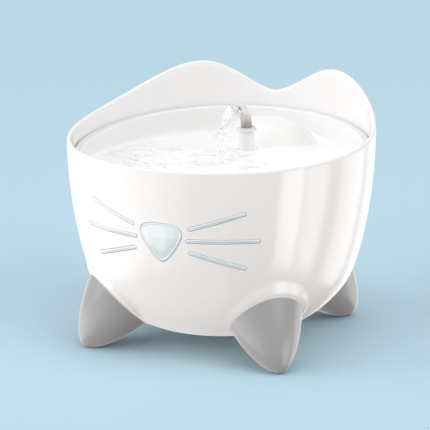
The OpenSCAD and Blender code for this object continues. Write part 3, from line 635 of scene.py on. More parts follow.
def hand_out(tree, geometry, material):
    """Ends a Geometry Nodes tree in one real mesh with its material."""
    real = put(tree, "GeometryNodeRealizeInstances", {"Geometry": geometry})
    dressed = put(tree, "GeometryNodeSetMaterial", {"Geometry": real, "Material": material})
    put(tree, "NodeGroupOutput", {"Geometry": dressed})
    return tree


def leg_tree():
    """Geometry Nodes: a bullet of revolution along an axis that leans, turned about the bowl."""
    tree, given = sized_tree("leg", Length=leg_length, Full_radius=leg_full_radius, Fullness=leg_fullness,
                             Root=1 / leg_root, Lean=-leg_lean, Tip_radius=leg_tip_radius,
                             Tip_height=leg_tip_z, Turn=0.0)
    factor = tree.nodes.new("GeometryNodeSplineParameter").outputs["Factor"]
    grown = reckon(tree, "MULTIPLY", factor, factor)
    rest = reckon(tree, "POWER", reckon(tree, "SUBTRACT", 1.0, factor), given["Fullness"])
    swell = reckon(tree, "POWER", reckon(tree, "SUBTRACT", 1.0, rest), given["Root"])
    radius = reckon(tree, "MULTIPLY", given["Full radius"], swell)
    spine = put(tree, "GeometryNodeCurvePrimitiveLine", {"End": (0, 0, 1)})
    spine = put(tree, "GeometryNodeResampleCurve", {"Curve": spine, "Count": 64})
    along = xyz(tree, Z=reckon(tree, "MULTIPLY", grown, given["Length"]))
    spine = put(tree, "GeometryNodeSetPosition", {"Geometry": spine, "Position": along})
    circle = put(tree, "GeometryNodeCurvePrimitiveCircle", {"Resolution": 96, "Radius": 1.0})
    bullet = put(tree, "GeometryNodeCurveToMesh", {"Curve": spine, "Profile Curve": circle, "Scale": radius,
                                                   "Fill Caps": True})
    closed = put(tree, "GeometryNodeMergeByDistance", {"Geometry": bullet, "Distance": 0.01 * mm})
    lean = xyz(tree, Y=given["Lean"])
    tip = xyz(tree, X=given["Tip radius"], Z=given["Tip height"])
    leaning = put(tree, "GeometryNodeTransform", {"Geometry": closed, "Rotation": lean, "Translation": tip})
    turn = xyz(tree, Z=given["Turn"])
    placed = put(tree, "GeometryNodeTransform", {"Geometry": leaning, "Rotation": turn})
    return hand_out(tree, placed, given["Material"])


def grown(tree, name, **sizes):
    """A new piece grown by a Geometry Nodes tree with its named sizes set, as a plain mesh."""
    piece = new_piece(name, bpy.data.meshes.new(name))
    growth = piece.modifiers.new("growth", "NODES")
    growth.node_group = tree
    for socket in tree.interface.items_tree:
        label = socket.name.replace(" ", "_")
        if socket.in_out == "INPUT" and label in sizes:
            growth[socket.identifier] = sizes[label]
    settle(piece)
    return piece


def slab(low_z, high_z):
    return rod("slab", 200 * mm, low_z, high_z, (0, 0, 0))


leg_grey = moulding("leg grey", (0.34, 0.335, 0.337), (0.365, 0.36, 0.362), (0.26, 0.32), skin_mm=0.9,
                    skin_depth=0.006, cloud_mm=45, Coat_Weight=0.1, Coat_Roughness=0.22)
foot_rubber = moulding("foot rubber", (0.36, 0.355, 0.36), (0.33, 0.325, 0.33), (0.6, 0.75), skin_mm=0.6,
                       skin_depth=0.02)
belly_gap = 0.1 * mm
plug_profile = (side + side_out * belly_gap)[:80:2]
plug_outline = [(0, base_z - belly_gap), *map(tuple, plug_profile), (0, 140 * mm)]
bore_radius = peg_radius + 0.1 * mm
bore_ends = (20 * mm, 90 * mm)
leg_shape = leg_tree()
for label, turn in leg_turns.items():
    spin = math.radians(turn - 90)
    out, tip, axis = leg_lines(turn)
    leg = grown(leg_shape, f"leg_{label}.bullet", Turn=spin, Material=leg_grey)
    plug = turned("plug", plug_outline, (0, 0, 0), turns=192)
    cut(leg, plug, slab(-50 * mm, pad_height), rod("bore", bore_radius, *bore_ends, tip, axis))
    hand_in(leg, leg_grey, f"leg_{label}", "reservoir")
    pad = grown(leg_shape, f"foot_pad_{label}.rubber", Turn=spin, Material=foot_rubber)
    cut(pad, slab(0, pad_height), how="INTERSECT")
    hand_in(pad, foot_rubber, f"foot_pad_{label}", "reservoir")

# ---- Cord grommet ----------------------------------------------------------------------
# A soft grommet in the back wall, where the supply cord would leave the bowl. It is pressed
# into its hole, and a flange on each side holds it there.
def dress(material, *nodes):
    """Gives CAD nodes that keep their own shape a finish."""
    for node in nodes:
        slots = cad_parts[node].data.materials
        slots.clear()
        slots.append(material)


grommet_white = moulding("grommet white", (0.80, 0.79, 0.78), (0.76, 0.75, 0.74), (0.45, 0.6), skin_mm=0.8,
                         skin_depth=0.01, cloud_mm=6)
dress(grommet_white, "cord_grommet")

# ---- Pump ------------------------------------------------------------------------------
# A small submersible pump: a white moulded motor housing with its coil cast in, a wet rotor on a
# ceramic shaft between two bushes, and a volute behind a slotted strainer. Four suction cups
# hold it down, and a gland closes the place where its cord would leave.
pump_white = moulding("pump white", (0.80, 0.81, 0.82), (0.76, 0.77, 0.785), (0.38, 0.5), skin_mm=0.7,
                      skin_depth=0.015, cloud_mm=20)
impeller_blue = moulding("impeller blue", (0.03, 0.19, 0.50), (0.025, 0.16, 0.44), (0.3, 0.42), skin_mm=0.9,
                         skin_depth=0.006, cloud_mm=8)
magnet_black = moulding("magnet black", (0.022, 0.022, 0.025), (0.04, 0.04, 0.044), (0.32, 0.55), skin_mm=0.35,
                        skin_depth=0.02, cloud_mm=5)
shaft_ceramic = moulding("shaft ceramic", (0.86, 0.84, 0.79), (0.82, 0.80, 0.75), (0.12, 0.2), skin_mm=0.3,
                         skin_depth=0.002, cloud_mm=3)
seal_rubber = moulding("seal rubber", (0.03, 0.03, 0.032), (0.045, 0.045, 0.047), (0.5, 0.65), skin_mm=0.5,
                       skin_depth=0.012, cloud_mm=4)
dress(pump_white, "pump_housing", "pump_base", "volute_cover", "intake_strainer")
dress(impeller_blue, "impeller")
dress(magnet_black, "rotor_magnet")
dress(shaft_ceramic, "rotor_shaft")
dress(seal_rubber, "bearing_inner", "bearing_outer", "pump_gland")
dress(foot_rubber, "suction_cup_1", "suction_cup_2", "suction_cup_3", "suction_cup_4")


def striped(name, dark, light, pitch, along, depth, **constants):
    """A surface of fine parallel lines, such as stacked sheets or wound wire, along one axis."""
    material = moulding(name, dark, light, (0.3, 0.45), skin_mm=0.4, skin_depth=0.004, cloud_mm=4, **constants)
    tree = material.node_tree
    lines = put(tree, "ShaderNodeTexWave", {"Vector": object_place(tree), "Scale": math.pi / 10 / pitch,
                                            "Distortion": 0.15}, wave_type="BANDS", bands_direction=along)
    ridge = put(tree, "ShaderNodeBump", {"Height": lines.outputs["Fac"], "Distance": depth * mm,
                                         "Normal": tree.nodes["Group"].outputs["Normal"]})
    recolour(tree, mixed(tree, lines.outputs["Fac"], dark, light))
    tree.links.new(ridge.outputs[0], tree.nodes["Principled BSDF"].inputs["Normal"])
    return material


dress(striped("core steel", (0.16, 0.165, 0.17), (0.42, 0.43, 0.44), 0.5 * mm, "Y", 0.05, Metallic=1.0),
      "stator_core")
dress(striped("coil copper", (0.30, 0.09, 0.03), (0.72, 0.30, 0.12), 0.32 * mm, "X", 0.12, Metallic=1.0),
      "stator_coil")

# ---- Filter box ------------------------------------------------------------------------
# A round box of frosted plastic round the pump, a perforated plate, a felt pad and a slotted
# cap. The water is drawn down through the last three, and the riser passes up through them.
box_clear = moulding("box clear", (0.66, 0.76, 0.80), (0.62, 0.72, 0.765), (0.25, 0.38), skin_mm=1.2,
                     skin_depth=0.01, cloud_mm=25, Subsurface_Weight=0.2, Subsurface_Scale=0.004)
riser_silicone = moulding("riser silicone", (0.74, 0.75, 0.74), (0.70, 0.71, 0.70), (0.35, 0.5), skin_mm=1.5,
                          skin_depth=0.008, cloud_mm=12, Subsurface_Weight=0.25, Subsurface_Scale=0.004)
dress(box_clear, "filter_box", "filter_plate", "filter_cap")
dress(riser_silicone, "riser_tube")

pad_low, pad_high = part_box("filter_pad")
pad_middle = np.array([(pad_low.x + pad_high.x) / 2, (pad_low.y + pad_high.y) / 2])
pad_play = 0.2 * mm
pad_radius = (pad_high.x - pad_low.x) / 2 - pad_play
riser_low, riser_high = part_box("riser_tube")
pad_hole = np.array([(riser_low.x + riser_high.x) / 2, (riser_low.y + riser_high.y) / 2])
riser_play = 0.5 * mm
pad_hole_radius = (riser_high.x - riser_low.x) / 2 + riser_play
weld_pitch = 9 * mm
weld_radius = 1.7 * mm
weld_depth = 1.1 * mm
pad_round = 2.2 * mm
pad_skin = 0.1 * mm
pad_columns = 180
pad_steps = 58


def pad_rings(face, edge):
    """Rings from the hole to the rim. The face is drawn in at welded dots and rounded at both edges."""
    a = np.arange(pad_columns) * 2 * math.pi / pad_columns
    spoke = np.column_stack([np.cos(a), np.sin(a)])
    inner, outer = pad_hole + spoke * pad_hole_radius, pad_middle + spoke * pad_radius
    rings = []
    for t in (1 - np.cos(np.linspace(0, math.pi, pad_steps))) / 2:
        flat = inner + (outer - inner) * t
        near = np.minimum(np.linalg.norm(flat - inner, axis=1), np.linalg.norm(flat - outer, axis=1))
        near = np.clip(near / pad_round, 0, 1)
        swell = np.sqrt(1 - (1 - near) ** 2)
        row = np.round((flat[:, 1] - pad_middle[1]) / weld_pitch)
        x = flat[:, 0] - pad_middle[0] - row % 2 * weld_pitch / 2
        off_x = x - np.round(x / weld_pitch) * weld_pitch
        weld = np.hypot(off_x, flat[:, 1] - pad_middle[1] - row * weld_pitch)
        dent = weld_depth * np.exp(-(weld / weld_radius) ** 2) * np.sign(face - edge)
        rings.append(np.column_stack([flat, edge + (face - edge - dent) * swell]))
    return rings


pad_seam = (pad_low.z + pad_high.z) / 2
pad_top = pad_rings(pad_high.z - pad_skin, pad_seam)
pad_under = pad_rings(pad_low.z + pad_skin, pad_seam)
pad = skin("filter_pad.felt", [*pad_top, *pad_under[-2::-1]], crease=60)
felt = moulding("felt", (0.70, 0.74, 0.78), (0.50, 0.57, 0.64), (0.85, 0.95), skin_mm=0.25, skin_depth=0.10,
                cloud_mm=5, Sheen_Weight=0.3)
hand_in(pad, felt, "filter_pad", "reservoir")

# ---- Tray ------------------------------------------------------------------------------
# A lift-out tray of satin white ABS: a rail that rests on the ledge, a coved basin with a hump
# behind the spout, a low overflow with drain slots at the nose, and the spout's pedestal.
tray_radius = 111.2 * mm
basin_radius = 105 * mm
basin_depth = 22 * mm
tray_wall = 2.2 * mm
rail_height = 5 * mm
cove = 8 * mm
draft = math.radians(4)
cove_centre = basin_radius - (basin_depth - cove) * math.tan(draft) - cove
hump_radius = 85 * mm
hump_centre = np.array([0, 107, -92]) * mm
hump_blend = 2.2 * mm
overflow_half = 28
overflow_ramp = 1.4
overflow_depth = 2.6 * mm
overflow_radius = 110 * mm
spout_y = 52 * mm
tray_columns = 288
floor_steps = 46
cove_steps = 18
wall_steps = 9
far_below = -1.0


def basin_outline(extra):
    """(radius, height) pairs from the middle of the floor up the cove to the foot of the wall."""
    a = np.linspace(-math.pi / 2, -draft, cove_steps)
    bend = np.column_stack([cove_centre + (cove + extra) * np.cos(a),
                            cove - basin_depth + (cove + extra) * np.sin(a)])
    floor = [(r, -basin_depth - extra) for r in np.linspace(mm, cove_centre, floor_steps)[:-1]]
    return np.vstack([floor, bend])


def with_hump(r, heights, radius):
    """A ring of the basin with the hump's ball blended in. A radius of 0 leaves the hump out."""
    a = np.arange(tray_columns) * 2 * math.pi / tray_columns
    x, y = r * np.cos(a), r * np.sin(a)
    ball = radius ** 2 - x ** 2 - (y - hump_centre[1]) ** 2
    dome = np.where(ball > 0, hump_centre[2] + np.sqrt(np.maximum(ball, 0)), far_below)
    mix = np.clip(0.5 + 0.5 * (dome - heights) / hump_blend, 0, 1)
    z = heights + (dome - heights) * mix + hump_blend * mix * (1 - mix)
    return np.column_stack([x, y + tray_shift, z])


def overflow_share():
    """1 in the overflow at the nose, 0 elsewhere, with short ramps."""
    a = np.degrees(np.arange(tray_columns) * 2 * math.pi / tray_columns)
    away = np.abs((a - 270 + 180) % 360 - 180)
    return np.clip((overflow_half + overflow_ramp / 2 - away) / overflow_ramp, 0, 1)


tray_rings = [np.array([[0, tray_shift, -basin_depth]])]
for r, h in basin_outline(0):
    tray_rings.append(with_hump(r, h, hump_radius))
overflow = overflow_depth * overflow_share()
wall_rise = np.linspace(cove - basin_depth, -0.6 * mm, wall_steps)[1:]
for h in wall_rise:
    tray_rings.append(with_hump(basin_radius + h * math.tan(draft), np.minimum(h, -overflow), hump_radius))
rail_top = np.array([(0.2, -0.2), (0.5, -0.04), (1.0, 0), (3.0, 0), (4.7, 0), (4.9, 0), (5.0, 0), (5.5, 0),
                     (5.9, -0.15), (6.15, -0.45), (6.2, -0.9)]) * mm
for out, h in rail_top:
    r = basin_radius + out
    tray_rings.append(with_hump(r, np.minimum(h, -overflow) if r < overflow_radius else h, hump_radius))
rail_in = basin_radius + tray_wall
rail_foot = [(tray_radius, 0.5 * mm - rail_height), (tray_radius - 0.15 * mm, 0.15 * mm - rail_height),
             (tray_radius - 0.5 * mm, -rail_height), (rail_in + 0.5 * mm, -rail_height),
             (rail_in, -rail_height - 0.5 * mm)]
for r, h in rail_foot:
    tray_rings.append(with_hump(r, h, 0))
for r, h in basin_outline(tray_wall)[::-1]:
    tray_rings.append(with_hump(r, h, hump_radius - tray_wall))
tray_rings.append(np.array([[0, tray_shift, -basin_depth - tray_wall]]))
tray = skin("drinking_tray.moulding", [in_tray(ring) for ring in tray_rings])


def slot_tree():
    """Geometry Nodes: round-ended cutters side by side on an arc, for the drain slots."""
    tree, given = sized_tree("drain slots", Arc_radius=0.1, Arc_start=0.0, Arc_sweep=1.0, Slot_length=4 * mm,
                             Slot_radius=1 * mm, Depth=8 * mm, Top=0.0, Slots=9)
    arc = put(tree, "GeometryNodeCurveArc", {"Radius": given["Arc radius"], "Start Angle": given["Arc start"],
                                             "Sweep Angle": given["Arc sweep"], "Resolution": 64})
    spots = put(tree, "GeometryNodeCurveToPoints", {"Curve": arc, "Count": given["Slots"]})
    width = reckon(tree, "MULTIPLY", given["Slot radius"], 2.0)
    whole = reckon(tree, "ADD", given["Slot length"], width)
    outline = put(tree, "GeometryNodeCurvePrimitiveQuadrilateral", {"Width": whole, "Height": width})
    corner = reckon(tree, "MULTIPLY", given["Slot radius"], 0.98)
    rounded = put(tree, "GeometryNodeFilletCurve", {"Curve": outline, "Count": 6, "Radius": corner}, mode="POLY")
    top = xyz(tree, Z=given["Top"])
    bottom = xyz(tree, Z=reckon(tree, "SUBTRACT", given["Top"], given["Depth"]))
    line = put(tree, "GeometryNodeCurvePrimitiveLine", {"Start": top, "End": bottom})
    plug = put(tree, "GeometryNodeCurveToMesh", {"Curve": line, "Profile Curve": rounded, "Fill Caps": True})
    inward = put(tree, "FunctionNodeAlignRotationToVector", {"Vector": spots.outputs["Tangent"]}, axis="X")
    placed = put(tree, "GeometryNodeInstanceOnPoints", {"Points": spots, "Instance": plug, "Rotation": inward})
    return hand_out(tree, placed, given["Material"])


drain_radius = 1.1 * mm
drain_margin = 0.2 * mm
drain_spread = 50
tray_white = moulding("tray white", (0.865, 0.857, 0.850), (0.85, 0.842, 0.835), (0.26, 0.275), skin_mm=3,
                      skin_depth=0.004, cloud_mm=70)
slots = grown(slot_tree(), "slots", Arc_radius=overflow_radius - drain_radius - drain_margin,
              Arc_start=math.radians(270 - drain_spread / 2), Arc_sweep=math.radians(drain_spread),
              Slot_length=4 * mm, Slot_radius=drain_radius, Depth=8 * mm, Top=2 * mm, Slots=9,
              Material=tray_white)
points = np.array([v.co for v in slots.data.vertices])
for vertex, place in zip(slots.data.vertices, in_tray(points + (0, tray_shift, 0))):
    vertex.co = place
cut(tray, slots)

# The pedestal stands round the spout's stem on a soft foot, and the riser's spigot is under it.
tray_up = in_tray([(0, 0, 1)])[0] - in_tray([(0, 0, 0)])[0]
pedestal_foot = in_tray([(0, spout_y, -basin_depth)])[0]
pedestal_top = basin_depth - 3.1 * mm
pedestal_wide = 6.8 * mm
pedestal_slim = 5.9 * mm
socket_radius = 4.4 * mm
socket_floor = 3 * mm
fillet = 2.2 * mm
foot_fillet = [(pedestal_wide + fillet * (1 - math.sin(a)), fillet * (1 - math.cos(a)))
               for a in np.linspace(0, math.pi / 2, 7)]
pedestal_outline = [(0, -tray_wall / 2), (foot_fillet[0][0], -tray_wall / 2), *foot_fillet,
                    (pedestal_slim + 0.02 * mm, pedestal_top - 0.5 * mm),
                    (pedestal_slim - 0.15 * mm, pedestal_top - 0.12 * mm),
                    (pedestal_slim - 0.5 * mm, pedestal_top), (socket_radius, pedestal_top),
                    (socket_radius, socket_floor), (0, socket_floor)]
pedestal = turned("pedestal", pedestal_outline, pedestal_foot, tray_up)
spigot_place = (0, 54.13 * mm, 107.75 * mm)
spigot_outline = np.array([(2.9, 0), (3.7, 0), (4.15, 0.6), (4.15, 12.4), (6.8, 13), (6.8, 18), (2.9, 18),
                           (2.9, 0)]) * mm
join(tray, pedestal, turned("spigot", spigot_outline, spigot_place, turns=48))
tidy_mesh(tray.data)

# The basin's wall is painted a shade lighter than its floor, as painted light, and the rail a shade darker, as
# painted shade over its bright top.
wall_radii = (97 * mm, 103 * mm)
wall_painted_light = (0.905, 0.897, 0.891)
rail_radii = (basin_radius + 0.1 * mm, basin_radius + 0.8 * mm)
rail_painted_shade = (0.81, 0.802, 0.796)
tree = tray_white.node_tree
across = from_axis(tree, tray_shift)
wall_shade = mixed(tree, ramp(tree, across, *wall_radii), own_shade(tree), wall_painted_light)
recolour(tree, mixed(tree, ramp(tree, across, *rail_radii), wall_shade, rail_painted_shade))
hand_in(tray, tray_white, "drinking_tray", "tray")

# ---- Spout -----------------------------------------------------------------------------
# A smoke-grey tube, bent a quarter turn over the basin. Its collar sits on the pedestal, its
# stem goes down inside with a rubber ring on it, and two notches give the fingers a hold.
collar_z = -3.0 * mm
collar_radius = 7.65 * mm
collar_height = 2.4 * mm
neck_radius = 4.3 * mm
waterway = 2.8 * mm
neck_height = 1.8 * mm
bend_radius = 18 * mm
stem_radius = 4.33 * mm
stem_length = 13 * mm
spout_foot = in_tray([(0, spout_y, collar_z)])[0]
tray_front = in_tray([(0, -1, 0)])[0] - in_tray([(0, 0, 0)])[0]
stem_end = 0.29
neck_start = 0.33
lip_way = 0.012
tube_steps = 34


def spout_ring(radius, way, points=48):
    """A ring round the tube's middle line; way runs 0 at the bottom of the stem to 1 at the mouth."""
    straight = stem_length + collar_height + neck_height
    whole = straight + bend_radius * math.pi / 2
    run = way * whole
    bend = max(0.0, (run - straight) / bend_radius)
    place = (spout_foot + tray_up * (min(run, straight) - stem_length)
             + tray_up * bend_radius * math.sin(bend) + tray_front * bend_radius * (1 - math.cos(bend)))
    ahead = tray_up * math.cos(bend) + tray_front * math.sin(bend)
    level = np.array([1.0, 0, 0])
    third = np.cross(ahead, level)
    a = np.arange(points) * 2 * math.pi / points
    return place + radius * (np.outer(np.cos(a), level) + np.outer(np.sin(a), third))


outer_rings = [spout_ring(stem_radius, 0), spout_ring(stem_radius, stem_end)]
outer_rings += [spout_ring(neck_radius, w) for w in np.linspace(neck_start, 1 - lip_way, tube_steps)]
outer_rings += [spout_ring(neck_radius - 0.25 * mm, 1 - lip_way / 4), spout_ring(neck_radius - 0.6 * mm, 1.0)]
inner_rings = [spout_ring(waterway + 0.2 * mm, 1.0), spout_ring(waterway, 1 - lip_way)]
inner_rings += [spout_ring(waterway, w) for w in np.linspace(1 - 2 * lip_way, 0, tube_steps)]
spout = skin("spout.tube", [*outer_rings, *inner_rings, outer_rings[0]])
sleeve = waterway + 0.6 * mm
collar_outline = [(sleeve, 0), (collar_radius - 0.5 * mm, 0), (collar_radius - 0.1 * mm, 0.2 * mm),
                  (collar_radius, 0.6 * mm), (collar_radius, collar_height - 0.8 * mm),
                  (collar_radius - 0.25 * mm, collar_height - 0.3 * mm),
                  (collar_radius - 0.8 * mm, collar_height), (neck_radius + 0.5 * mm, collar_height),
                  (neck_radius - 0.3 * mm, collar_height + 0.6 * mm), (sleeve, collar_height), (sleeve, 0)]
collar = turned("collar", collar_outline, spout_foot, tray_up, 96)
notch_radius = 0.9 * mm
notch_ends = (-1 * mm, 4 * mm)
notch_way = np.array([collar_radius, 0, 0])
notches = [rod("notch", notch_radius, *notch_ends, spout_foot + end * notch_way, tray_up, 24)
           for end in (-1, 1)]
cut(collar, *notches)
join(spout, collar)
tidy_mesh(spout.data)

# The neck is darker just above the collar, and pales towards the bend.
dark_foot_tone = (0.24, 0.19, 0.185)
darkening_rise = 13 * mm
darkening_start = 0.3 * mm
spout_grey = moulding("spout grey", (0.78, 0.765, 0.755), (0.74, 0.725, 0.715), (0.08, 0.14), skin_mm=2,
                      skin_depth=0.004, cloud_mm=15, Coat_Weight=0.3, Coat_Roughness=0.04)
tree = spout_grey.node_tree
neck_foot = spout_foot[2] + collar_height
height_up = object_xyz(tree)[2]
paler = ramp(tree, height_up, neck_foot, neck_foot + darkening_rise)
above_collar = reckon(tree, "GREATER_THAN", height_up, neck_foot + darkening_start)
darkening = reckon(tree, "MULTIPLY", above_collar, reckon(tree, "SUBTRACT", 1.0, paler))
recolour(tree, mixed(tree, darkening, own_shade(tree), dark_foot_tone))
hand_in(spout, spout_grey, "spout", "spout")

dress(seal_rubber, "spout_seal")

# ---- Water -----------------------------------------------------------------------------
# The tray is full to its overflow. A stream arches out of the spout, rings run out from where it
# lands, and small waves lie across the middle, further to the left than to the right.
water_level = 131.2 * mm
landing = (0.0, 0.8 * mm)


def water(name, ior, passing, *shades):
    """Water with a little haze; passing is the share of the light that goes through it."""
    material = bpy.data.materials.new(name)
    material.use_nodes = True
    tree = material.node_tree
    glass = tree.nodes["Principled BSDF"].inputs
    glass["IOR"].default_value = ior
    glass["Transmission Weight"].default_value = passing
    haze = put(tree, "ShaderNodeTexNoise", {"Vector": object_place(tree), "Scale": 40.0, "Detail": 2.0})
    recolour(tree, mixed(tree, haze, *shades))
    tree.links.new(ramp(tree, haze, 0.0, 1.0, 0.0, 0.03), glass["Roughness"])
    return material


# Part of the stream is white, a painted highlight that also hides the dark inside of the tube. The pool carries
# thin dark lines of painted shade.
falling = water("falling water", 1.22, 0.75, (0.97, 0.962, 0.958), (0.93, 0.922, 0.92))
clear = water("water", 1.33, 1.0, (0.985, 0.992, 0.995), (0.96, 0.975, 0.985))
# The dark lines are painted shade for the shadows that the ripples throw, in a patch across the middle.
painted_ripple_shade = (0.52, 0.50, 0.515)
line_stretch = (0.75, 1.5, 0.0)
line_scale = 44.0
line_half = 0.03
lined_middle = (-24 * mm, 2 * mm)
lined_half = (85 * mm, 50 * mm)
lined_fade = (0.7, 1.0)
tree = clear.node_tree
place = object_place(tree)
swirls = put(tree, "ShaderNodeTexNoise", {"Vector": steer(tree, "MULTIPLY", place, line_stretch),
                                          "Scale": line_scale, "Detail": 2.0, "Distortion": 0.8})
off_line = reckon(tree, "ABSOLUTE", reckon(tree, "SUBTRACT", swirls, 0.5))
on_line = ramp(tree, off_line, 0.0, line_half, 1.0, 0.0)
from_middle = steer(tree, "ADD", place, (-lined_middle[0], -lined_middle[1], -water_level))
lined_way = steer(tree, "MULTIPLY", from_middle, (1 / lined_half[0], 1 / lined_half[1], 0.0))
in_lined = ramp(tree, steer(tree, "LENGTH", lined_way), *lined_fade, 1.0, 0.0)
lined = reckon(tree, "MULTIPLY", on_line, in_lined)
recolour(tree, mixed(tree, lined, tree.nodes["Mix"].outputs[2], painted_ripple_shade))


def ripple_tree():
    """Geometry Nodes: a block whose top carries rings round a landing point and a patch of small waves."""
    tree, given = sized_tree("ripples", Width=0.216, Level=0.1, Depth=0.04, Landing_X=0.0, Landing_Y=0.0,
                             Ring_height=0.4 * mm, Ring_length=7 * mm, Ring_reach=14 * mm, Wave_height=1.0 * mm,
                             Wave_length=16 * mm, Patch_X=-24 * mm, Patch_Y=4 * mm, Patch_length=80 * mm,
                             Patch_width=46 * mm, Steps=240)
    size = xyz(tree, X=given["Width"], Y=given["Width"], Z=given["Depth"])
    block = put(tree, "GeometryNodeMeshCube", {"Size": size, "Vertices X": given["Steps"],
                                               "Vertices Y": given["Steps"], "Vertices Z": 2})
    place = tree.nodes.new("GeometryNodeInputPosition").outputs[0]
    x, y, z = put(tree, "ShaderNodeSeparateXYZ", {0: place}).outputs

    def away(cx, cy, rx=1.0, ry=1.0):
        dx = reckon(tree, "DIVIDE", reckon(tree, "SUBTRACT", x, cx), rx)
        dy = reckon(tree, "DIVIDE", reckon(tree, "SUBTRACT", y, cy), ry)
        return reckon(tree, "SQRT", reckon(tree, "ADD", reckon(tree, "MULTIPLY", dx, dx),
                                           reckon(tree, "MULTIPLY", dy, dy)))

    distance = away(given["Landing X"], given["Landing Y"])
    turns = reckon(tree, "DIVIDE", reckon(tree, "MULTIPLY", distance, 2 * math.pi), given["Ring length"])
    fade = reckon(tree, "EXPONENT", reckon(tree, "DIVIDE", reckon(tree, "MULTIPLY", distance, -1.0),
                                           given["Ring reach"]))
    rings = reckon(tree, "MULTIPLY", reckon(tree, "MULTIPLY", reckon(tree, "COSINE", turns), fade),
                   given["Ring height"])
    scale = reckon(tree, "DIVIDE", 1.0, given["Wave length"])
    noise = put(tree, "ShaderNodeTexNoise", {"Vector": place, "Scale": scale, "Detail": 3.0,
                                             "Roughness": 0.55, "Distortion": 0.6})
    crest = reckon(tree, "ABSOLUTE", reckon(tree, "SUBTRACT", noise, 0.5))
    crest = reckon(tree, "SUBTRACT", 0.12, crest)
    inside = away(given["Patch X"], given["Patch Y"], given["Patch length"], given["Patch width"])
    patch = ramp(tree, inside, 1.0, 0.75, interpolation_type="SMOOTHSTEP")
    waves = reckon(tree, "MULTIPLY", reckon(tree, "MULTIPLY", crest, patch),
                   reckon(tree, "MULTIPLY", given["Wave height"], 4.0))
    top = reckon(tree, "GREATER_THAN", z, 0.0)
    lift = reckon(tree, "MULTIPLY", reckon(tree, "ADD", rings, waves), top)
    base = reckon(tree, "SUBTRACT", given["Level"], reckon(tree, "DIVIDE", given["Depth"], 2.0))
    shift = xyz(tree, Z=reckon(tree, "ADD", base, lift))
    moved = put(tree, "GeometryNodeSetPosition", {"Geometry": block, "Offset": shift})
    return hand_out(tree, moved, given["Material"])


pool = grown(ripple_tree(), "water.pool", Level=water_level, Landing_X=landing[0], Landing_Y=landing[1],
             Material=clear)
# The water reaches a hair into the tray, so that no air shows between them.
water_bite = 0.1 * mm
fill_hump = hump_radius - water_bite
fill_radius = basin_radius + water_bite
fill_top = 1.5 * mm
fill_rings = [np.array([[0, tray_shift, -water_bite - basin_depth]])]
for r, h in basin_outline(water_bite):
    fill_rings.append(with_hump(r, h, fill_hump))
for h in wall_rise[:-1]:
    fill_rings.append(with_hump(fill_radius + h * math.tan(draft), h, fill_hump))
fill_rings.append(with_hump(fill_radius, -fill_top, fill_hump))
fill_rings.append(np.array([[0, tray_shift, -fill_top]]))
cut(pool, skin("fill", [in_tray(ring) for ring in fill_rings]), how="INTERSECT", crease=50)
post_outline = [(0, -4 * mm), (pedestal_wide + 2.4 * mm, -4 * mm), (pedestal_wide + 2.4 * mm, 0.3 * mm),
                (pedestal_wide + 0.9 * mm, 1.2 * mm), (pedestal_wide + 0.25 * mm, 2.4 * mm),
                (pedestal_slim + 0.2 * mm, 30 * mm), (0, 30 * mm)]
cut(pool, turned("post", post_outline, pedestal_foot, tray_up), crease=50)
pool.data.materials.clear()
pool.data.materials.append(clear)
pool.visible_shadow = False
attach(pool, "tray")

stream_line = np.array([(31.2, 166.3), (26.5, 167.6), (22, 168.5), (17.6, 168.7), (13.6, 167.7), (10.3, 165.6),
                        (7.6, 162.4), (5.4, 159.0), (3.7, 155.4), (2.5, 151.8), (1.8, 147.6), (1.3, 142.6),
                        (1.0, 137.0), (0.8, 130.2)]) * mm
stream_radius = np.array([2.7, 3.2, 3.5, 3.6, 3.4, 3.1, 2.9, 2.75, 2.6, 2.45, 2.3, 2.15, 2.05, 2.1]) * mm
# Ridges run along the stream, each with a height, lobes round it and a twist. Beads lie across it.
stream_ridges = ((0.15, 2, 9), (0.10, 3, -40))
bead_height = 0.10
bead_phase = 55
bead_closing = 9
stream_steps = 110
stream_columns = 40
smoothings = 30
way = np.linspace(0, 1, len(stream_line))
steps = np.linspace(0, 1, stream_steps)
line = np.column_stack([np.interp(steps, way, c) for c in stream_line.T])
for _ in range(smoothings):
    line[1:-1] = (line[:-2] + 2 * line[1:-1] + line[2:]) / 4
ahead = np.gradient(line, axis=0)
ahead /= np.linalg.norm(ahead, axis=1)[:, None]
stream_rings = [np.array([[0, *line[0]]])]
for t, (y, z), (fy, fz), r in zip(steps, line, ahead, np.interp(steps, way, stream_radius)):
    a = np.arange(stream_columns) * 2 * math.pi / stream_columns
    ridges = sum(height * np.sin(lobes * a + twist * t) for height, lobes, twist in stream_ridges)
    ripple = 1 + ridges + bead_height * math.sin(bead_phase * t + bead_closing * t * t)
    x, across = r * ripple * np.cos(a), r * ripple * np.sin(a)
    stream_rings.append(np.column_stack([x, y - across * fz, z + across * fy]))
stream_rings.append(np.array([[0, *line[-1]]]))
stream = skin("water.stream", stream_rings, crease=70)
stream.data.materials.append(falling)
stream.visible_shadow = False
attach(stream, "spout")

# ---- Studio ----------------------------------------------------------------------------
# A plain pale floor that runs past the view, and soft lamps all round. The tall boxes are only
# there to be mirrored: a wall looks down in its mirror image, so they hang below the floor,
# which mirrors don't show.
floor_colour = (0.503, 0.694, 0.799)
floor_light = 1.04
floor_bounce = (0.78, 0.765, 0.755)
floor_half = 40
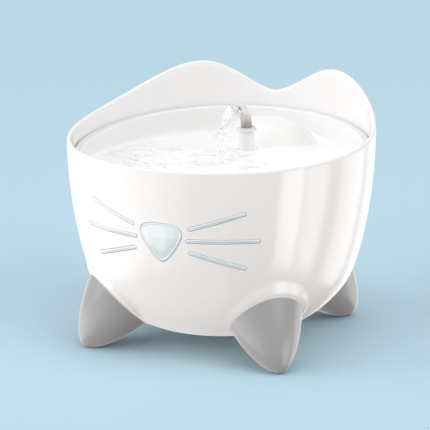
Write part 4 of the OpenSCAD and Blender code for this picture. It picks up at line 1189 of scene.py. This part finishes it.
# Near the fountain the floor that the camera sees is painted up to 6 % lighter: painted light that evens out the
# floor's shade round the fountain.
near_painted_light = 1.06
near_reach = (0.15, 1.2)
floor = new_piece("floor", bpy.data.meshes.new("floor"))
floor_corners = [(x * floor_half, y * floor_half, 0) for x, y in ((-1, -1), (1, -1), (1, 1), (-1, 1))]
floor.data.from_pydata(floor_corners, [], [(0, 1, 2, 3)])
paper = bpy.data.materials.new("paper")
paper.use_nodes = True
tree = paper.node_tree
path = tree.nodes.new("ShaderNodeLightPath").outputs
away = steer(tree, "LENGTH", object_place(tree))
near = ramp(tree, away, *near_reach, 1.0, 0.0, interpolation_type="SMOOTHSTEP")
shade = mixed(tree, near, *([gain * c / floor_light for c in floor_colour] for gain in (1, near_painted_light)))
recolour(tree, mixed(tree, path["Is Camera Ray"], floor_bounce, shade))
tree.nodes["Principled BSDF"].inputs["Roughness"].default_value = 1
tree.nodes["Principled BSDF"].inputs["Specular IOR Level"].default_value = 0
floor.data.materials.append(paper)
floor.visible_glossy = False

sky_light = (0.42, 0.42, 0.42)
sky_mirrored = (1.0, 1.0, 1.0)
world = bpy.data.worlds.new("studio")
bpy.context.scene.world = world
world.use_nodes = True
tree = world.node_tree
path = tree.nodes.new("ShaderNodeLightPath").outputs
mirrored = reckon(tree, "MAXIMUM", path["Is Glossy Ray"], path["Is Transmission Ray"])
tree.links.new(mixed(tree, mirrored, sky_light, sky_mirrored), tree.nodes["Background"].inputs["Color"])


def hang(name, kind, turn, rise, place=(0, 0, 0)):
    """A lamp that shines from turn degrees right of the camera, or left below 0, and rise degrees up."""
    lamp = bpy.data.lights.new(name, kind)
    holder = bpy.data.objects.new(name, lamp)
    holder.rotation_euler = (math.radians(90 - rise), 0, math.radians(camera_turn + turn))
    holder.location = place
    holder.visible_camera = False
    bpy.context.scene.collection.objects.link(holder)
    return lamp


for name, (turn, rise, softness, strength) in {
    "top": (0, 80, 36, 0.50),
    "back": (180, 60, 50, 0.20),
    "left": (-90, 28, 40, 0.80),
    "low left": (-75, 14, 24, 0.24),
    "front left": (-50, 25, 36, 0.50),
    "high right": (60, 50, 45, 0.54),
    "right": (90, 28, 40, 0.03),
    "front right": (50, 30, 40, 0.36),
}.items():
    lamp = hang(name, "SUN", turn, rise)
    lamp.angle = math.radians(softness)
    lamp.energy = strength
box_away = 1.5
box_z = -0.52
box_height = 1.0
for name, (turn, width, power) in {
    "left back box": (-136, 1.0, 2.4),
    "left box": (-88, 1.53, 12.0),
    "front left box": (-51, 0.48, 4.0),
    "front box": (-34, 0.45, 1.4),
    "band": (52, 0.46, 10.8),
    "soft band": (73, 0.50, 4.8),
    "far box": (112, 0.80, 4.4),
    "back box": (148, 0.7, 1.6),
}.items():
    a = math.radians(camera_turn + turn)
    lamp = hang(name, "AREA", turn, 0, (box_away * math.sin(a), -box_away * math.cos(a), box_z))
    lamp.shape = "RECTANGLE"
    lamp.size = width
    lamp.size_y = box_height
    lamp.energy = power

# A dim card lies low on the right. The undersides on that side mirror it instead of the bright sky.
card_z = -1.03
card_near, card_far = 0.1, 1.45
card_half = 1.7
right_way = np.array([math.cos(math.radians(camera_turn)), math.sin(math.radians(camera_turn)), 0])
away_way = np.array([-right_way[1], right_way[0], 0])
card_corners = [tuple(right_way * across + away_way * deep + up * card_z) for across, deep in
                ((card_near, -card_half), (card_far, -card_half), (card_far, card_half),
                 (card_near, card_half))]
card = new_piece("card", bpy.data.meshes.new("card"))
card.data.from_pydata(card_corners, [], [(0, 1, 2, 3)])
dim = bpy.data.materials.new("dim card")
dim.use_nodes = True
dim_surface = dim.node_tree.nodes["Principled BSDF"].inputs
dim_surface["Base Color"].default_value = (0.02, 0.02, 0.02, 1)
dim_surface["Emission Color"].default_value = (1, 0.97, 0.95, 1)
dim_surface["Emission Strength"].default_value = 0.3
card.data.materials.append(dim)
card.visible_camera = card.visible_diffuse = card.visible_shadow = card.visible_transmission = False
